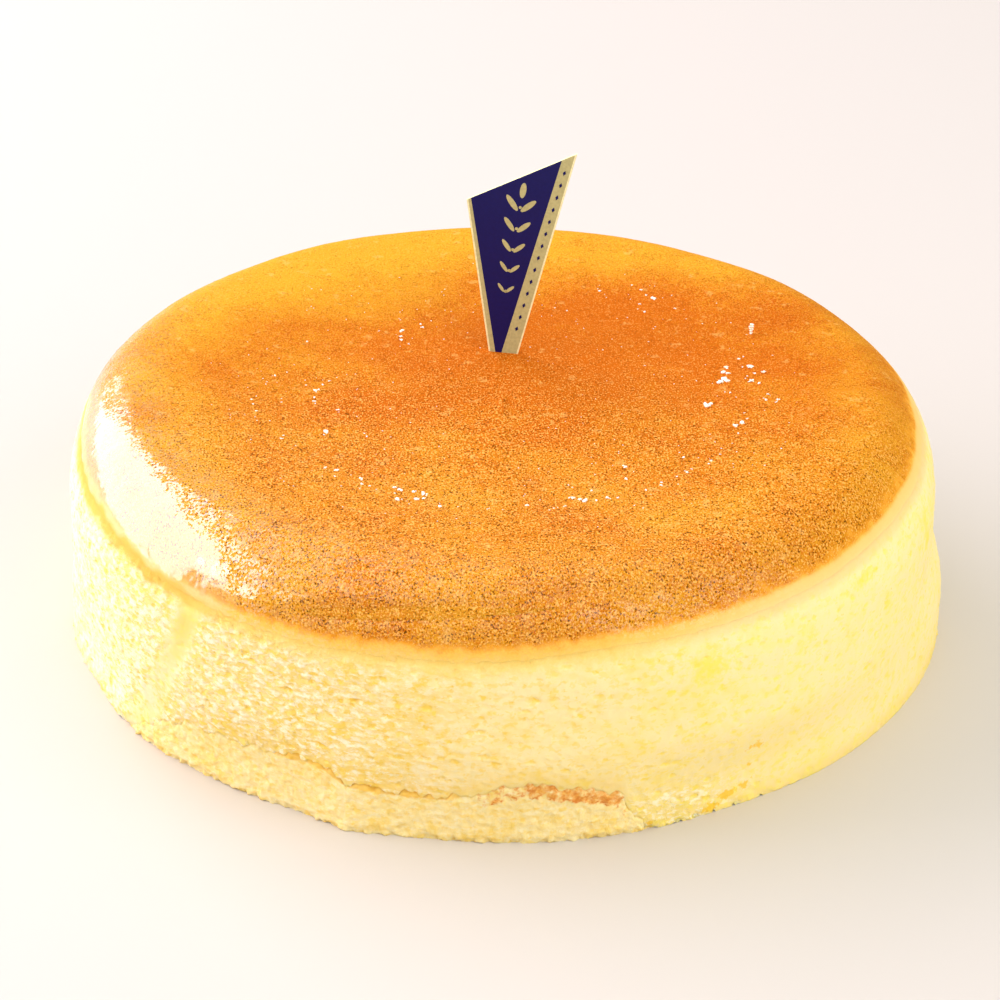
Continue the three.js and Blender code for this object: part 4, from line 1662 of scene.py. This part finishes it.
def make_card():
    """The card's face, cut into fields."""
    bpy.ops.object.select_all(action="DESELECT")
    bpy.ops.mesh.primitive_plane_add(size=1)
    piece = bpy.context.object
    piece.name = "card_pick"
    tip_left = side_at(LEFT_EDGE, -PICK_DEPTH, PICK_LEFT_HEIGHT)
    tip_right = side_at(RIGHT_EDGE, -PICK_DEPTH, PICK_RIGHT_HEIGHT)
    corners = {(-1, -1): (tip_left, -PICK_DEPTH), (1, -1): (tip_right, -PICK_DEPTH),
               (1, 1): (RIGHT_EDGE[1], PICK_RIGHT_HEIGHT), (-1, 1): (LEFT_EDGE[1], PICK_LEFT_HEIGHT)}
    for vertex in piece.data.vertices:
        across, up = corners[(round(vertex.co.x * 2), round(vertex.co.y * 2))]
        vertex.co = (across * MM, 0, up * MM)
    bpy.ops.object.mode_set(mode="EDIT")
    for side, top in ((FIELD_LEFT, PICK_LEFT_HEIGHT), (FIELD_RIGHT, PICK_RIGHT_HEIGHT)):
        cut_line((side[0], 0), (side[1], top))
    for side, top, inwards in ((LEFT_EDGE, PICK_LEFT_HEIGHT, 1), (RIGHT_EDGE, PICK_RIGHT_HEIGHT, -1)):
        cut_line((side[0] + inwards * BARE_MARGIN, 0), (side[1] + inwards * BARE_MARGIN, top))
    bpy.ops.mesh.select_all(action="SELECT")
    bpy.ops.mesh.normals_make_consistent(inside=False)
    bpy.ops.object.mode_set(mode="OBJECT")
    return piece


def paint_at(across, up):
    """Which paint a place on the card has: navy field, gold border or bare margin."""
    if side_at(FIELD_LEFT, up, PICK_LEFT_HEIGHT) < across < side_at(FIELD_RIGHT, up, PICK_RIGHT_HEIGHT):
        return NAVY
    inner_left = side_at(LEFT_EDGE, up, PICK_LEFT_HEIGHT) + BARE_MARGIN
    inner_right = side_at(RIGHT_EDGE, up, PICK_RIGHT_HEIGHT) - BARE_MARGIN
    return GOLD if inner_left < across < inner_right else BARE


def card_material(name, colour, roughness):
    """Coated card with a faint unevenness of the print."""
    material, tree, shader = new_material(name)
    place = add_millimetres(tree, add_object_position(tree))
    fibre = add_noise(tree, place, 0.5, detail=3.0, roughness=0.5)
    darker = tuple(0.86 * v for v in colour[:3]) + (1.0,)
    print_colour = add_colour_mix(tree, add_map(tree, fibre, 0.35, 0.7), colour, darker)
    feed_all(tree, shader, {"Base Color": print_colour, "Normal": add_bump(tree, fibre, 0.15, 0.05),
                            "Roughness": roughness, "Specular IOR Level": 0.25})
    return material


card = make_card()
for card_paint in (("print_navy", CARD_NAVY, 0.38), ("print_gold", CARD_GOLD, 0.42),
                   ("cut_edge", CARD_EDGE, 0.7)):
    card.data.materials.append(card_material(*card_paint))
for card_face in card.data.polygons:
    middle = card_face.center / MM
    card_face.material_index = paint_at(middle.x, middle.z)
thickness = card.modifiers.new("thickness", "SOLIDIFY")
thickness.thickness = PICK_THICKNESS * MM
thickness.offset = 0
thickness.material_offset_rim = BARE
apply_modifiers(card)
print("card faces:", len(card.data.polygons))

# %% [markdown]
# ## Print on the pick
# On the dark field goes a plain gold sprig: a stem of small dots with pairs of leaves. It is a common
# ornament and says nothing. Each leaf is a flat many-sided disc, stretched and turned, a few hundredths of
# a millimetre proud of the card on both faces. The gold border carries a row of small dark diamonds.

# %% Card pick: sprig and border
SPRIG_START = (-0.5, 10)
SPRIG_END = (2.4, 30)
LEAF_PAIRS = 5
LEAF_SMALLEST = 1.7
LEAF_GROWTH = 1.9
LEAF_SPLAY = 42
LEAF_SIDES = 14
LEAF_WIDTH = 0.3
LEAF_OUT = 0.42
LEAF_UP = 0.55
STEM_DOT = 0.55
STEM_DOT_SIDES = 10
TIP_LEAF = (2.9, 1.1)
TIP_LEAF_AHEAD = 1.2
DIAMOND_COUNT = 14
DIAMOND_SIZE = (1.0, 0.55)
DIAMOND_LEAN = 10
DIAMOND_FROM = (1.9, 5.0)
DIAMOND_TO = (9.6, 35)


def add_print_shape(sides, centre, length, width, turn, paint, parts):
    """A flat printed shape, on the front and on the back."""
    for facing in (-1, 1):
        bpy.ops.object.select_all(action="DESELECT")
        bpy.ops.mesh.primitive_cylinder_add(vertices=sides, radius=0.5, depth=1)
        shape = bpy.context.object
        to_size = Matrix.Diagonal((width * MM, length * MM, PRINT_THICKNESS * MM * 2, 1))
        upright = Matrix.Rotation(math.pi / 2, 4, "X")
        turned = Matrix.Rotation(-math.radians(turn), 4, "Y")
        at = Matrix.Translation((centre[0] * MM, facing * PICK_THICKNESS / 2 * MM, centre[1] * MM))
        shape.data.transform(at @ turned @ upright @ to_size)
        shape.data.materials.append(card.data.materials[paint])
        parts.append(shape)


def make_print():
    """All printed shapes, joined to the card."""
    parts = []
    start, end = Vector(SPRIG_START), Vector(SPRIG_END)
    lean = math.degrees(math.atan2(start.x - end.x, end.y - start.y))
    side = Vector((end.y - start.y, start.x - end.x)).normalized()
    for pair in range(LEAF_PAIRS):
        share = (pair + 0.5) / LEAF_PAIRS
        at = start.lerp(end, share)
        size = LEAF_SMALLEST + LEAF_GROWTH * share
        for hand in (-1, 1):
            leaf = at + side * hand * size * LEAF_OUT + Vector((0, LEAF_UP))
            turn = lean - hand * LEAF_SPLAY
            add_print_shape(LEAF_SIDES, leaf, size, LEAF_WIDTH * size, turn, GOLD, parts)
        add_print_shape(STEM_DOT_SIDES, at, STEM_DOT, STEM_DOT, 0, GOLD, parts)
    tip = end + (end - start).normalized() * TIP_LEAF_AHEAD
    add_print_shape(LEAF_SIDES, tip, *TIP_LEAF, lean, GOLD, parts)
    first, last = Vector(DIAMOND_FROM), Vector(DIAMOND_TO)
    for index in range(DIAMOND_COUNT):
        at = first.lerp(last, index / (DIAMOND_COUNT - 1))
        add_print_shape(4, at, *DIAMOND_SIZE, lean - DIAMOND_LEAN, NAVY, parts)
    choose_only(card)
    for part in parts:
        part.select_set(True)
    bpy.ops.object.join()


make_print()
card_height = float(top_height(np.array(PICK_X), np.array(PICK_Y)))
card_place = Matrix.Translation((PICK_X * MM, PICK_Y * MM, card_height * MM))
card.data.transform(card_place @ Matrix.Rotation(math.radians(PICK_TURN), 4, "Z"))
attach(card, "root")
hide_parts("pick")
print("card top at", round(points_of(card)[:, 2].max(), 1), "mm; solid", round(pick_top / MM, 1))
